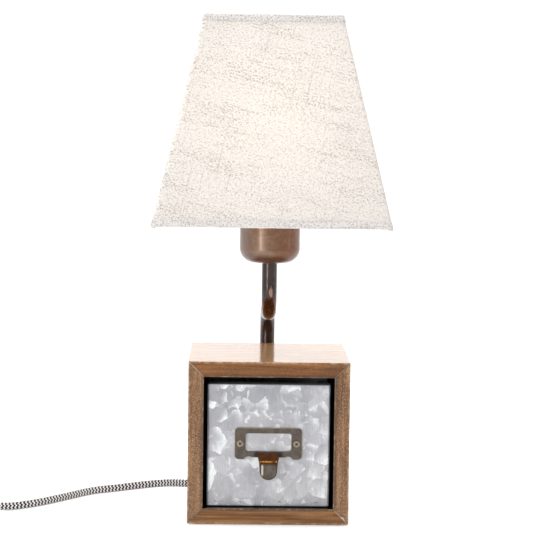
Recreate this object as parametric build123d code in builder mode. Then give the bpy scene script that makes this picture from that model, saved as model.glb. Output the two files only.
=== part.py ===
from build123d import *
import os
from math import atan2, cos, degrees, hypot, radians, sin, tan

# Desk lamp with a drawer base. Millimetres, +Z up. The origin is the centre of
# the underside of the felt pad under the wooden case, and the drawer faces -Y.

os.makedirs("parts", exist_ok=True)

# ---------------------------------------------------------------- dimensions
# wooden case
CASE_W = 130.0            # outside width, X
CASE_D = 130.0            # outside depth, Y
CASE_BOTTOM = 1.0         # underside of the bottom board
CASE_TOP = 132.5          # upper face of the top board
BOARD = 12.5              # board thickness
EDGE_R = 0.9              # rounding of the outer long edges
FRONT_R = 0.6             # rounding of the front edges
BACK_T = 9.0              # back panel thickness
FELT = (122.0, 122.0, 1.0)
IN_X = CASE_W / 2 - BOARD
IN_Z0 = CASE_BOTTOM + BOARD
IN_Z1 = CASE_TOP - BOARD
FRONT_Y = -CASE_D / 2
REAR_Y = CASE_D / 2

# drawer of folded galvanised sheet
SHEET = 0.8
DRAWER_W = 99.0
DRAWER_Z0 = 14.1
DRAWER_Z1 = 113.4
DRAWER_FACE = -57.0       # the front is set back in the case
PAN_DEPTH = 12.0
TRAY_Y1 = 50.0
TRAY_Z0 = DRAWER_Z0 + SHEET
TRAY_Z1 = 112.0
HEM = 5.0
DRAWER_TRAVEL = 90.0      # the row's joint uses the same figure

# label-holder pull
PLATE_T = 1.2
PLATE_W = 54.4
PLATE_Z1 = 78.1
PLATE_ZS = 65.4           # height of the two screws
SCREW_X = 22.8
WIN_W, WIN_Z0, WIN_Z1 = 37.0, 59.0, 73.8

# stem
TUBE_R = 6.25
TUBE_BORE = 5.0
BEND_R = 22.0
STEM_Y = REAR_Y + TUBE_R + 0.3
STEM_Z0 = 74.0
STEM_ZH = 163.3           # height of the level stretch
CUP_Z = 207.5             # underside of the cup
SADDLE_Z = (83.0, 110.0)

# lampholder, bulb and cup
CUP_R = 24.75
CUP_H = 42.5
CUP_WALL = 1.2
CUP_FILLET = 12.0
HOLDER_R = 19.6
FITTER_Z = 251.6
NIPPLE_R = 4.95

# shade
SHADE_B = 190.0           # outer side at the bottom
SHADE_T = 111.0           # outer side at the top
SHADE_Z0 = 242.5
SHADE_Z1 = 408.5
SHADE_CORNER = 3.0
SKIN = 0.8
LINER = 0.9
WIRE_R = 1.25

# mains cord
CORD_D = 6.4
CORD_R = CORD_D / 2
EXIT_Z = 50.0
COIL_C = (-327.0, 79.0)
COIL_RM = 35.0            # middle of the turns
COIL_Z0 = 0.5
COIL_H = 12.8
COIL_B = 9.6              # half of the bundle's width

# the routes of the free cord
ROUTE_FREE = [
    (0.0, STEM_Y, 50.0),
    (0.0, STEM_Y, 31.5),
    (-9.0, 76.2, 14.5),
    (-26.5, 84.0, 4.6),
    (-47.5, 93.5, 3.3),
    (-64.0, 98.6, 3.2),
    (-86.0, 102.0, 3.2),
    (-108.0, 90.0, 3.2),
    (-130.0, 73.0, 3.2),
    (-151.0, 60.5, 3.2),
    (-170.5, 31.5, 3.2),
    (-192.0, 3.0, 3.2),
    (-216.0, -17.0, 3.3),
    (-236.0, -25.7, 8.0),
    (-256.0, -34.3, 8.0),
]
SWITCH_L = 54.0
_u = (ROUTE_FREE[-1][0] - ROUTE_FREE[-2][0], ROUTE_FREE[-1][1] - ROUTE_FREE[-2][1])
_n = hypot(*_u)
SW_DIR = (_u[0] / _n, _u[1] / _n)
SW_IN = ROUTE_FREE[-1]
SW_OUT = (SW_IN[0] + SWITCH_L * SW_DIR[0], SW_IN[1] + SWITCH_L * SW_DIR[1], 8.0)
ROUTE_MID = [
    SW_OUT,
    (SW_OUT[0] + 19.0 * SW_DIR[0], SW_OUT[1] + 19.0 * SW_DIR[1], 7.4),
    (-350.5, -58.5, 3.4),
    (-368.5, -32.0, 3.2),
    (-373.0, 2.0, 3.3),
    (-370.4, 35.0, 3.6),
    (-368.4, 64.0, 3.7),
]
PLUG_X = COIL_C[0] + COIL_RM + 6.4
PLUG_TAIL_Y = 50.0        # where the cord enters the plug's relief
PLUG_Z = 7.0
ROUTE_TAIL = [(PLUG_X, 66.0, PLUG_Z), (PLUG_X, PLUG_TAIL_Y, PLUG_Z)]


def radii_of(points):
    """One arc radius per corner: 0.45 of the shorter run over the tangent of half the turn."""
    out = []
    for a, b, c in zip(points, points[1:], points[2:]):
        u = Vector(*b) - Vector(*a)
        v = Vector(*c) - Vector(*b)
        turn = radians(u.get_angle(v))
        out.append(0.45 * min(u.length, v.length) / tan(turn / 2))
    return out


def tube_along(points, name):
    """A round cord along straight runs joined by tangent arcs."""
    radii = radii_of(points)
    start = Vector(*points[1]) - Vector(*points[0])
    with BuildPart() as tube:
        with BuildLine() as path:
            if radii:
                FilletPolyline(*points, radius=radii)
            else:
                Line(*points)
        with BuildSketch(Plane(origin=points[0], z_dir=start)):
            Circle(CORD_R)
        sweep(path=path.wire())
    long = sum(e.length for e in path.edges())
    print(
        name,
        "length",
        round(long, 1),
        "radii",
        [round(r) for r in radii],
        "volume over section times length",
        round(tube.part.volume / (3.14159265 * CORD_R**2 * long), 4),
    )
    return tube


def save(builder, name):
    builder.part.label = name
    export_step(builder.part, "parts/" + name + ".step")


# ------------------------------------------------------------- wooden case
# One mitred frame, rounded, then parted along its four mitres.
with BuildPart() as case_frame:
    with BuildSketch(Plane.XZ.offset(-REAR_Y)):
        with Locations((0, (CASE_BOTTOM + CASE_TOP) / 2)):
            Rectangle(CASE_W, CASE_TOP - CASE_BOTTOM)
            Rectangle(2 * IN_X, IN_Z1 - IN_Z0, mode=Mode.SUBTRACT)
    extrude(amount=CASE_D)
    long_edges = (
        case_frame.edges()
        .filter_by(Axis.Y)
        .filter_by(lambda e: abs(e.center().X) > CASE_W / 2 - 1)
    )
    fillet(long_edges, EDGE_R)
    front_edges = (
        case_frame.faces()
        .sort_by(Axis.Y)[0]
        .edges()
    )
    fillet(front_edges, FRONT_R)

MITRE_TL = Plane(origin=(-CASE_W / 2, 0, CASE_TOP), z_dir=(1, 0, 1))
MITRE_TR = Plane(origin=(CASE_W / 2, 0, CASE_TOP), z_dir=(-1, 0, 1))
MITRE_BL = Plane(origin=(-CASE_W / 2, 0, CASE_BOTTOM), z_dir=(1, 0, -1))
MITRE_BR = Plane(origin=(CASE_W / 2, 0, CASE_BOTTOM), z_dir=(-1, 0, -1))
BRAD_Z = (33.0, 100.5)
BRAD_Y = REAR_Y - BACK_T / 2
BRAD_R = 0.7

with BuildPart() as top_board:
    add(case_frame.part)
    split(bisect_by=MITRE_TL, keep=Keep.TOP)
    split(bisect_by=MITRE_TR, keep=Keep.TOP)

with BuildPart() as bottom_board:
    add(case_frame.part)
    split(bisect_by=MITRE_BL, keep=Keep.TOP)
    split(bisect_by=MITRE_BR, keep=Keep.TOP)

with BuildPart() as left_board:
    add(case_frame.part)
    split(bisect_by=MITRE_TL, keep=Keep.BOTTOM)
    split(bisect_by=MITRE_BL, keep=Keep.BOTTOM)
    with BuildSketch(Plane.YZ.offset(-CASE_W / 2 - 1)):
        with Locations(*[(BRAD_Y, z) for z in BRAD_Z]):
            Circle(BRAD_R + 0.02)
    extrude(amount=BOARD + 3, mode=Mode.SUBTRACT)

with BuildPart() as right_board:
    add(case_frame.part)
    split(bisect_by=MITRE_TR, keep=Keep.BOTTOM)
    split(bisect_by=MITRE_BR, keep=Keep.BOTTOM)
    with BuildSketch(Plane.YZ.offset(CASE_W / 2 + 1)):
        with Locations(*[(BRAD_Y, z) for z in BRAD_Z]):
            Circle(BRAD_R + 0.02)
    extrude(amount=-BOARD - 3, mode=Mode.SUBTRACT)

# Back panel, let in flush between the boards.
SADDLE_SCREWS = [(x, z) for z in SADDLE_Z for x in (-14.5, 14.5)]
SCREW_CORE = 1.5
with BuildPart() as back_panel:
    with BuildSketch(Plane.XZ.offset(-REAR_Y)):
        with Locations((0, (IN_Z0 + IN_Z1) / 2)):
            Rectangle(2 * IN_X, IN_Z1 - IN_Z0)
    extrude(amount=BACK_T)
    with BuildSketch(Plane.XZ.offset(-REAR_Y)):
        with Locations(*SADDLE_SCREWS):
            Circle(SCREW_CORE + 0.02)
    extrude(amount=8.0, mode=Mode.SUBTRACT)
    for side in (-1, 1):
        with BuildSketch(Plane.YZ.offset(side * IN_X)):
            with Locations(*[(BRAD_Y, z) for z in BRAD_Z]):
                Circle(BRAD_R + 0.02)
        extrude(amount=-side * 12.0, mode=Mode.SUBTRACT)

# Four finishing brads through the sides into the back panel's edges.
with BuildPart() as panel_brads:
    for side in (-1, 1):
        with BuildSketch(Plane.YZ.offset(side * (CASE_W / 2 - 0.2))):
            with Locations(*[(BRAD_Y, z) for z in BRAD_Z]):
                Circle(BRAD_R)
        extrude(amount=-side * 23.0)

with BuildPart() as base_felt:
    with BuildSketch(Plane.XY):
        RectangleRounded(FELT[0], FELT[1], 4)
    extrude(amount=FELT[2])

# ---------------------------------------------------------------- drawer
with BuildPart() as drawer_front:
    with BuildSketch(Plane.XZ.offset(-DRAWER_FACE)):
        with Locations((0, (DRAWER_Z0 + DRAWER_Z1) / 2)):
            Rectangle(DRAWER_W, DRAWER_Z1 - DRAWER_Z0)
    extrude(amount=-PAN_DEPTH)
    fillet(
        drawer_front.edges()
        .filter_by(Axis.Z)
        .group_by(Axis.Y)[0],
        1.6,
    )
    fillet(
        drawer_front.edges()
        .filter_by(Axis.X)
        .group_by(Axis.Y)[0],
        0.9,
    )
    offset(amount=-SHEET, openings=drawer_front.faces().sort_by(Axis.Y)[-1])
    with BuildSketch(Plane.XZ.offset(-DRAWER_FACE)):
        with Locations((-SCREW_X, PLATE_ZS), (SCREW_X, PLATE_ZS)):
            Circle(1.6)
    extrude(amount=-3, mode=Mode.SUBTRACT)
    # four small dimples of the spot welds along the lower edge
    with Locations(
        *[(x, DRAWER_FACE - 1.25, 17.3) for x in (-41.4, -22.9, 9.6, 39.5)]
    ):
        Sphere(1.6, mode=Mode.SUBTRACT)

with BuildPart() as drawer_tray:
    half = DRAWER_W / 2 - SHEET
    y0 = DRAWER_FACE + SHEET + 1.8
    with BuildSketch(Plane.XY.offset(TRAY_Z0)):
        with Locations((0, (y0 + TRAY_Y1) / 2)):
            Rectangle(2 * half, TRAY_Y1 - y0)
    extrude(amount=TRAY_Z1 - TRAY_Z0)
    with BuildSketch(Plane.XY.offset(TRAY_Z0 + SHEET)):
        with Locations((0, (y0 + TRAY_Y1 - SHEET) / 2 - 0.5)):
            Rectangle(2 * (half - SHEET), TRAY_Y1 - SHEET - y0 + 1.0)
    extrude(amount=TRAY_Z1 - TRAY_Z0, mode=Mode.SUBTRACT)
    # the rim is folded inwards into a hem
    with BuildSketch(Plane.XY.offset(TRAY_Z1 - HEM)):
        with Locations((0, (y0 + TRAY_Y1) / 2)):
            Rectangle(2 * half, TRAY_Y1 - y0)
        with Locations((0, (y0 + TRAY_Y1 - 2 * SHEET) / 2 - 0.5)):
            Rectangle(
                2 * (half - 2 * SHEET), TRAY_Y1 - 2 * SHEET - y0 + 1.0, mode=Mode.SUBTRACT
            )
    extrude(amount=HEM)

# Two thin felt strips under the drawer.
with BuildPart() as drawer_glides:
    with BuildSketch(Plane.XY.offset(IN_Z0 + 0.03)):
        with Locations((-38, 3), (38, 3)):
            RectangleRounded(10, 88, 2)
    extrude(amount=TRAY_Z0 - IN_Z0 - 0.03)

# ------------------------------------------------------- label-holder pull
FACE = DRAWER_FACE
with BuildPart() as label_pull:
    # finger tongue: out and down from the plate, then straight down
    with BuildSketch(Plane.YZ):
        with BuildLine():
            Polyline(
                (FACE - 0.1, 58.95),
                (FACE - 1.3, 58.95),
                (FACE - 5.0, 58.0),
                (FACE - 12.8, 54.0),
                (FACE - 14.0, 52.2),
                (FACE - 14.4, 50.0),
                (FACE - 14.4, 38.0),
                (FACE - 13.1, 38.0),
                (FACE - 13.1, 49.8),
                (FACE - 12.8, 51.4),
                (FACE - 12.0, 52.8),
                (FACE - 4.5, 56.6),
                (FACE - 1.2, 55.4),
                (FACE - 0.1, 55.4),
                close=True,
            )
        make_face()
    extrude(amount=8.6, both=True)
    with BuildSketch(Plane.XZ.offset(-FACE - 1)):
        with BuildLine():
            Polyline(
                (-9.6, 60.0),
                (9.6, 60.0),
                (9.3, 58.0),
                (8.4, 55.6),
                (7.6, 52.6),
                (7.1, 46.5),
                (6.95, 44.9),
                (-6.95, 44.9),
                (-7.1, 46.5),
                (-7.6, 52.6),
                (-8.4, 55.6),
                (-9.3, 58.0),
                close=True,
            )
        make_face()
        with Locations((0, 45.0)):
            Circle(6.95)
    extrude(amount=20, mode=Mode.INTERSECT)
    tongue_edges = label_pull.edges().filter_by(
        lambda e: e.center().Y < FACE - 14.35 and e.center().Z < 49.9
    )
    fillet(tongue_edges, 0.6)
    # plate with two lobes, scooped either side of the tongue
    with BuildSketch(Plane.XZ.offset(-FACE)):
        with Locations((0, (PLATE_Z1 + 52.6) / 2)):
            RectangleRounded(PLATE_W, PLATE_Z1 - 52.6, 3.6)
        with Locations((0, 52.6)):
            Rectangle(36, 3.4, mode=Mode.SUBTRACT)
        with Locations((-15.8, 50.6), (15.8, 50.6)):
            Circle(4.4, mode=Mode.SUBTRACT)
        with Locations((0, (WIN_Z0 + WIN_Z1) / 2)):
            RectangleRounded(WIN_W, WIN_Z1 - WIN_Z0, 2.2, mode=Mode.SUBTRACT)
        with Locations((-SCREW_X, PLATE_ZS), (SCREW_X, PLATE_ZS)):
            Circle(1.6, mode=Mode.SUBTRACT)
    extrude(amount=PLATE_T)

# M3 pan-head screws with a cross recess, and their nuts behind the sheet
with BuildPart() as pull_screws:
    with BuildSketch(Plane.XZ.offset(-FACE + PLATE_T)):
        with Locations((-SCREW_X, PLATE_ZS), (SCREW_X, PLATE_ZS)):
            Circle(2.75)
    extrude(amount=1.5)
    fillet(
        pull_screws.faces().sort_by(Axis.Y)[0:2].edges(),
        0.9,
    )
    with BuildSketch(Plane.XZ.offset(-FACE + PLATE_T)):
        with Locations((-SCREW_X, PLATE_ZS), (SCREW_X, PLATE_ZS)):
            Circle(1.5)
    extrude(amount=-6.0)
    with BuildSketch(Plane.XZ.offset(-FACE + PLATE_T + 1.5)):
        with Locations((-SCREW_X, PLATE_ZS), (SCREW_X, PLATE_ZS)):
            Rectangle(3.0, 0.7, rotation=40)
            Rectangle(0.7, 3.0, rotation=40)
    extrude(amount=-0.9, mode=Mode.SUBTRACT)

with BuildPart() as pull_nuts:
    with BuildSketch(Plane.XZ.offset(-FACE - SHEET)):
        with Locations((-SCREW_X, PLATE_ZS), (SCREW_X, PLATE_ZS)):
            RegularPolygon(3.15, 6)
            Circle(1.52, mode=Mode.SUBTRACT)
    extrude(amount=-2.4)

# ------------------------------------------------------------------- stem
with BuildPart() as stem_tube:
    with BuildLine() as stem_path:
        FilletPolyline(
            (0, STEM_Y, STEM_Z0),
            (0, STEM_Y, STEM_ZH),
            (0, 0, STEM_ZH),
            (0, 0, CUP_Z),
            radius=BEND_R,
        )
    with BuildSketch(Plane.XY.offset(STEM_Z0).shift_origin((0, STEM_Y, STEM_Z0))):
        Circle(TUBE_R)
        Circle(TUBE_BORE, mode=Mode.SUBTRACT)
    sweep(path=stem_path.wire())

# Two saddle clips hold the stem against the back panel.
saddles = []
for z in SADDLE_Z:
    with BuildPart() as saddle:
        with BuildSketch(Plane.XY.offset(z - 7)):
            with Locations((0, REAR_Y + 0.75)):
                Rectangle(40, 1.5)
            with Locations((0, REAR_Y + (STEM_Y - REAR_Y) / 2)):
                Rectangle(2 * (TUBE_R + 1.6), STEM_Y - REAR_Y)
            with Locations((0, STEM_Y)):
                Circle(TUBE_R + 1.6)
                Circle(TUBE_R + 0.05, mode=Mode.SUBTRACT)
            with Locations((0, REAR_Y + (STEM_Y - REAR_Y) / 2 - 1)):
                Rectangle(
                    2 * (TUBE_R + 0.05), STEM_Y - REAR_Y + 2, mode=Mode.SUBTRACT
                )
        extrude(amount=14)
        fillet(
            saddle.edges()
            .filter_by(Axis.Y)
            .filter_by(lambda e: abs(e.center().X) > 19),
            3.0,
        )
        with BuildSketch(Plane.XZ.offset(-REAR_Y)):
            with Locations((-14.5, z), (14.5, z)):
                Circle(SCREW_CORE + 0.15)
        extrude(amount=-3, mode=Mode.SUBTRACT)
    saddles.append(saddle)
lower_saddle, upper_saddle = saddles

with BuildPart() as saddle_screws:
    with BuildSketch(Plane.XZ.offset(-REAR_Y - 1.5)):
        with Locations(*SADDLE_SCREWS):
            Circle(3.2)
    extrude(amount=-2.0)
    fillet(saddle_screws.faces().sort_by(Axis.Y)[-4:].edges(), 1.1)
    with BuildSketch(Plane.XZ.offset(-REAR_Y - 1.5)):
        with Locations(*SADDLE_SCREWS):
            Circle(SCREW_CORE)
    extrude(amount=9.0)
    with BuildSketch(Plane.XZ.offset(-REAR_Y - 3.5)):
        with Locations(*SADDLE_SCREWS):
            Rectangle(3.6, 0.8, rotation=25)
            Rectangle(0.8, 3.6, rotation=25)
    extrude(amount=1.1, mode=Mode.SUBTRACT)

# Rubber bush with a tapered strain relief in the stem's lower end
with BuildPart() as cord_relief:
    with BuildSketch(Plane.YZ):
        with BuildLine():
            Polyline(
                (STEM_Y + CORD_R + 0.03, EXIT_Z),
                (STEM_Y + 4.2, EXIT_Z),
                (STEM_Y + 4.5, EXIT_Z + 1.0),
                (STEM_Y + 5.6, STEM_Z0 - 2.0),
                (STEM_Y + TUBE_R, STEM_Z0 - 2.0),
                (STEM_Y + TUBE_R, STEM_Z0),
                (STEM_Y + 4.97, STEM_Z0),
                (STEM_Y + 4.97, STEM_Z0 + 9.0),
                (STEM_Y + CORD_R + 0.03, STEM_Z0 + 9.0),
                close=True,
            )
        make_face()
    revolve(axis=Axis((0, STEM_Y, 0), (0, 0, 1)))

# The lead inside the stem, from the strain relief to the lampholder
with BuildPart() as inner_lead:
    with BuildLine() as lead_path:
        FilletPolyline(
            (0, STEM_Y, EXIT_Z),
            (0, STEM_Y, STEM_ZH),
            (0, 0, STEM_ZH),
            (0, 0, 222.0),
            radius=BEND_R,
        )
    with BuildSketch(Plane.XY.offset(EXIT_Z).shift_origin((0, STEM_Y, EXIT_Z))):
        Circle(CORD_R)
    sweep(path=lead_path.wire())
print("inner lead length", round(sum(e.length for e in lead_path.edges()), 1))

# ------------------------------------------------- cup, lampholder and bulb
with BuildPart() as socket_cup:
    with BuildSketch(Plane.XY.offset(CUP_Z)):
        Circle(CUP_R)
    extrude(amount=CUP_H)
    fillet(socket_cup.edges().filter_by(GeomType.CIRCLE).sort_by(Axis.Z)[0], CUP_FILLET)
    offset(amount=-CUP_WALL, openings=socket_cup.faces().sort_by(Axis.Z)[-1])
    with BuildSketch(Plane.XY.offset(CUP_Z - 1)):
        Circle(NIPPLE_R + 0.05)
    extrude(amount=4, mode=Mode.SUBTRACT)

with BuildPart() as stem_nipple:
    with BuildSketch(Plane.XY.offset(CUP_Z - 10)):
        Circle(NIPPLE_R)
        Circle(3.9, mode=Mode.SUBTRACT)
    extrude(amount=10 + 11.5)

with BuildPart() as cup_washer:
    with BuildSketch(Plane.XY.offset(CUP_Z + CUP_WALL)):
        Circle(10.0)
        Circle(NIPPLE_R + 0.05, mode=Mode.SUBTRACT)
    extrude(amount=1.0)

with BuildPart() as nipple_nut:
    with BuildSketch(Plane.XY.offset(CUP_Z + CUP_WALL + 1.0)):
        RegularPolygon(8.0, 6)
        Circle(NIPPLE_R + 0.02, mode=Mode.SUBTRACT)
    extrude(amount=3.0)

HOLDER_Z0 = CUP_Z + CUP_WALL + 4.1
# dome of the lampholder, screwed on the nipple
with BuildPart() as holder_cap:
    with BuildSketch(Plane.XZ):
        with BuildLine():
            Polyline(
                (NIPPLE_R + 0.02, HOLDER_Z0),
                (11.0, HOLDER_Z0),
                (17.0, HOLDER_Z0 + 5.0),
                (19.0, HOLDER_Z0 + 11.0),
                (19.0, 230.0),
                (16.8, 230.0),
                (16.8, HOLDER_Z0 + 12.0),
                (15.2, HOLDER_Z0 + 6.6),
                (10.0, HOLDER_Z0 + 2.4),
                (8.0, HOLDER_Z0 + 6.0),
                (NIPPLE_R + 0.02, HOLDER_Z0 + 6.0),
                close=True,
            )
        make_face()
    revolve(axis=Axis.Z)

# inner block that carries the contacts
with BuildPart() as contact_block:
    with BuildSketch(Plane.XY.offset(223.0)):
        Circle(15.0)
        with Locations((0, 10.5), (0, -10.5)):
            Circle(1.8, mode=Mode.SUBTRACT)
    extrude(amount=11.0)
    with BuildSketch(Plane.XY.offset(230.0)):
        Circle(16.6)
        Circle(14.9, mode=Mode.SUBTRACT)
    extrude(amount=3.0)

with BuildPart() as terminal_screws:
    with BuildSketch(Plane.XY.offset(223.5)):
        with Locations((0, 10.5), (0, -10.5)):
            Circle(1.75)
    extrude(amount=9.5)

with BuildPart() as centre_contact:
    with BuildSketch(Plane.YZ):
        with BuildLine():
            Polyline(
                (-8.0, 234.05),
                (5.5, 234.05),
                (5.5, 234.6),
                (3.5, 234.9),
                (-1.5, 236.8),
                (-3.0, 236.8),
                (-3.0, 236.3),
                (-1.8, 236.3),
                (2.8, 234.6),
                (-8.0, 234.6),
                close=True,
            )
        make_face()
    extrude(amount=3.2, both=True)

# outer body: skirt, seat for the shade fitting and outside thread
with BuildPart() as holder_body:
    with BuildSketch(Plane.XZ):
        with BuildLine():
            Polyline(
                (14.4, 234.2),
                (17.0, 234.2),
                (17.0, 230.1),
                (19.2, 230.1),
                (19.2, 249.4),
                (21.6, 249.4),
                (21.6, FITTER_Z),
                (HOLDER_R, FITTER_Z),
                (HOLDER_R, 268.0),
                (18.6, 269.0),
                (14.4, 269.0),
                close=True,
            )
        make_face()
    revolve(axis=Axis.Z)

with BuildPart() as screw_shell:
    with BuildSketch(Plane.XZ):
        with BuildLine():
            Polyline(
                (13.75, 236.0),
                (14.35, 236.0),
                (14.35, 264.5),
                (13.75, 264.5),
                close=True,
            )
        make_face()
    revolve(axis=Axis.Z)

# shade ring, a nut with finger notches
with BuildPart() as shade_ring:
    with BuildSketch(Plane.XY.offset(FITTER_Z + 1.7)):
        Circle(24.2)
        Circle(HOLDER_R + 0.06, mode=Mode.SUBTRACT)
    extrude(amount=7.5)
    fillet(
        shade_ring.edges().filter_by(GeomType.CIRCLE).group_by(Axis.Z)[-1].sort_by(SortBy.RADIUS)[-1],
        1.2,
    )
    with BuildSketch(Plane.XY.offset(FITTER_Z + 1.7)):
        with PolarLocations(24.9, 24):
            Circle(1.15)
    extrude(amount=9, mode=Mode.SUBTRACT)

# bulb: pear-shaped glass on a screw cap
CAP_R = 13.4
with BuildPart() as bulb_cap:
    with BuildSketch(Plane.XZ):
        with BuildLine():
            Polyline(
                (0, 237.0),
                (3.6, 237.0),
                (4.6, 238.4),
                (10.2, 240.6),
                (12.4, 242.4),
                (CAP_R, 243.6),
                (12.6, 245.4),
                (CAP_R, 247.2),
                (12.6, 249.0),
                (CAP_R, 250.8),
                (12.6, 252.6),
                (CAP_R, 254.4),
                (12.6, 256.2),
                (CAP_R, 258.0),
                (12.6, 259.8),
                (12.9, 261.2),
                (13.2, 264.6),
                (13.2, 267.0),
                (12.4, 267.0),
                (12.4, 264.0),
                (11.8, 243.4),
                (9.8, 241.6),
                (0, 239.6),
                close=True,
            )
        make_face()
    revolve(axis=Axis.Z)

BULB_R = 30.0
BULB_C = 317.0
with BuildPart() as bulb_glass:
    with BuildSketch(Plane.XZ):
        with BuildLine():
            l1 = Line((12.3, 264.2), (12.3, 266.0))
            s1 = Spline(
                l1 @ 1,
                (14.6, 278.0),
                (22.2, 293.0),
                (BULB_R, BULB_C),
                tangents=[(0, 1), (0, 1)],
            )
            a1 = ThreePointArc(
                s1 @ 1,
                (BULB_R * sin(radians(45)), BULB_C + BULB_R * cos(radians(45))),
                (0, BULB_C + BULB_R),
            )
            l2 = Line(a1 @ 1, (0, BULB_C + BULB_R - 0.8))
            a2 = ThreePointArc(
                l2 @ 1,
                (
                    (BULB_R - 0.8) * sin(radians(45)),
                    BULB_C + (BULB_R - 0.8) * cos(radians(45)),
                ),
                (BULB_R - 0.8, BULB_C),
            )
            s2 = Spline(
                a2 @ 1,
                (21.5, 293.4),
                (13.8, 278.4),
                (11.55, 266.0),
                tangents=[(0, -1), (0, -1)],
            )
            l3 = Line(s2 @ 1, (11.55, 264.2))
            Line(l3 @ 1, l1 @ 0)
        make_face()
    revolve(axis=Axis.Z)

# glass mount inside the bulb, with the four upright filament sticks
with BuildPart() as bulb_mount:
    with BuildSketch(Plane.XZ):
        with BuildLine():
            Polyline(
                (0, 262.0),
                (11.4, 262.0),
                (11.2, 264.0),
                (6.0, 270.0),
                (4.0, 276.0),
                (2.6, 290.0),
                (2.2, 324.0),
                (3.2, 326.0),
                (3.2, 327.6),
                (0, 328.4),
                close=True,
            )
        make_face()
    revolve(axis=Axis.Z)

with BuildPart() as bulb_filaments:
    with BuildSketch(Plane.XY.offset(290.0)):
        with PolarLocations(8.0, 4):
            Circle(0.9)
    extrude(amount=34.0)

# ------------------------------------------------------------------ shade
RUN = (SHADE_B - SHADE_T) / 2 / (SHADE_Z1 - SHADE_Z0)   # inward run per mm of height


def side_at(z, inset=0.0):
    """Outer side of the shade at a height, less an inset on each side."""
    return SHADE_B - 2 * RUN * (z - SHADE_Z0) - 2 * inset


def frustum(inset, z0, z1):
    with BuildPart(mode=Mode.PRIVATE) as body:
        with BuildSketch(Plane.XY.offset(z0)):
            RectangleRounded(side_at(z0, inset), side_at(z0, inset), SHADE_CORNER - min(inset, 2))
        with BuildSketch(Plane.XY.offset(z1)):
            RectangleRounded(side_at(z1, inset), side_at(z1, inset), SHADE_CORNER - min(inset, 2))
        loft(ruled=True)
    return body.part


with BuildPart() as shade_fabric:
    add(frustum(0.0, SHADE_Z0, SHADE_Z1))
    add(frustum(SKIN, SHADE_Z0 - 1, SHADE_Z1 + 1), mode=Mode.SUBTRACT)

with BuildPart() as shade_liner:
    add(frustum(SKIN, SHADE_Z0, SHADE_Z1))
    add(frustum(SKIN + LINER, SHADE_Z0 - 1, SHADE_Z1 + 1), mode=Mode.SUBTRACT)

WIRE_IN = SKIN + LINER + WIRE_R + 0.15


def wire_square(z):
    side = side_at(z, WIRE_IN)
    with BuildSketch(Plane.XY.offset(z), mode=Mode.PRIVATE) as loop:
        RectangleRounded(side, side, 5)
    path = loop.sketch.faces()[0].outer_wire()
    with BuildPart(mode=Mode.PRIVATE) as wire:
        with BuildSketch(Plane(origin=path @ 0, z_dir=path % 0)):
            Circle(WIRE_R)
        sweep(path=path)
    return wire.part


WIRE_Z0 = SHADE_Z0 + 2.2
WIRE_Z1 = SHADE_Z1 - 2.2
with BuildPart() as shade_bottom_wire:
    add(wire_square(WIRE_Z0))

with BuildPart() as shade_top_wire:
    add(wire_square(WIRE_Z1))

# spider: a flat ring that drops over the lampholder, and four arms to the wire
CORNER_IN = side_at(WIRE_Z0, WIRE_IN) / 2 - WIRE_R - 1.0
with BuildPart() as shade_spider:
    with BuildSketch(Plane.XY.offset(FITTER_Z + 0.02)):
        Circle(26.5)
        Circle(HOLDER_R + 0.5, mode=Mode.SUBTRACT)
    extrude(amount=1.5)
    for sx, sy in ((1, 1), (1, -1), (-1, 1), (-1, -1)):
        a = Vector(sx * 17.4, sy * 17.4, FITTER_Z + 0.75)
        b = Vector(sx * 24.0, sy * 24.0, FITTER_Z + 0.75)
        c = Vector(sx * 46.0, sy * 46.0, WIRE_Z0 + 0.3)
        d = Vector(sx * CORNER_IN, sy * CORNER_IN, WIRE_Z0)
        with BuildLine() as arm:
            FilletPolyline(a, b, c, d, radius=6)
        with BuildSketch(Plane(origin=a, z_dir=b - a)):
            Circle(WIRE_R)
        sweep(path=arm.wire())

# hems: self-fabric strips folded round the lower and upper rims
HEM_H = 5.2
with BuildPart() as hem_bottom:
    add(frustum(-0.45, SHADE_Z0 - 0.6, SHADE_Z0 + HEM_H))
    add(frustum(0.0, SHADE_Z0 - 2.0, SHADE_Z0 + HEM_H + 1.0), mode=Mode.SUBTRACT)

with BuildPart() as hem_top:
    add(frustum(-0.45, SHADE_Z1 - HEM_H, SHADE_Z1 + 0.6))
    add(frustum(0.0, SHADE_Z1 - HEM_H - 1.0, SHADE_Z1 + 2.0), mode=Mode.SUBTRACT)

# --------------------------------------------------------------- free cord
cord = tube_along(ROUTE_FREE, "cord")
cord_mid = tube_along(ROUTE_MID, "cord_mid")
cord_tail = tube_along(ROUTE_TAIL, "cord_tail")

with BuildPart() as cord_coil:
    with BuildSketch(Plane.XY.offset(COIL_Z0).shift_origin((*COIL_C, COIL_Z0))):
        Circle(COIL_RM + COIL_B)
        Circle(COIL_RM - COIL_B, mode=Mode.SUBTRACT)
    extrude(amount=COIL_H)
    fillet(cord_coil.edges().filter_by(GeomType.CIRCLE), 2.6)
print("coil turns 5.5, length", round(5.5 * 2 * 3.14159265 * COIL_RM))

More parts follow.
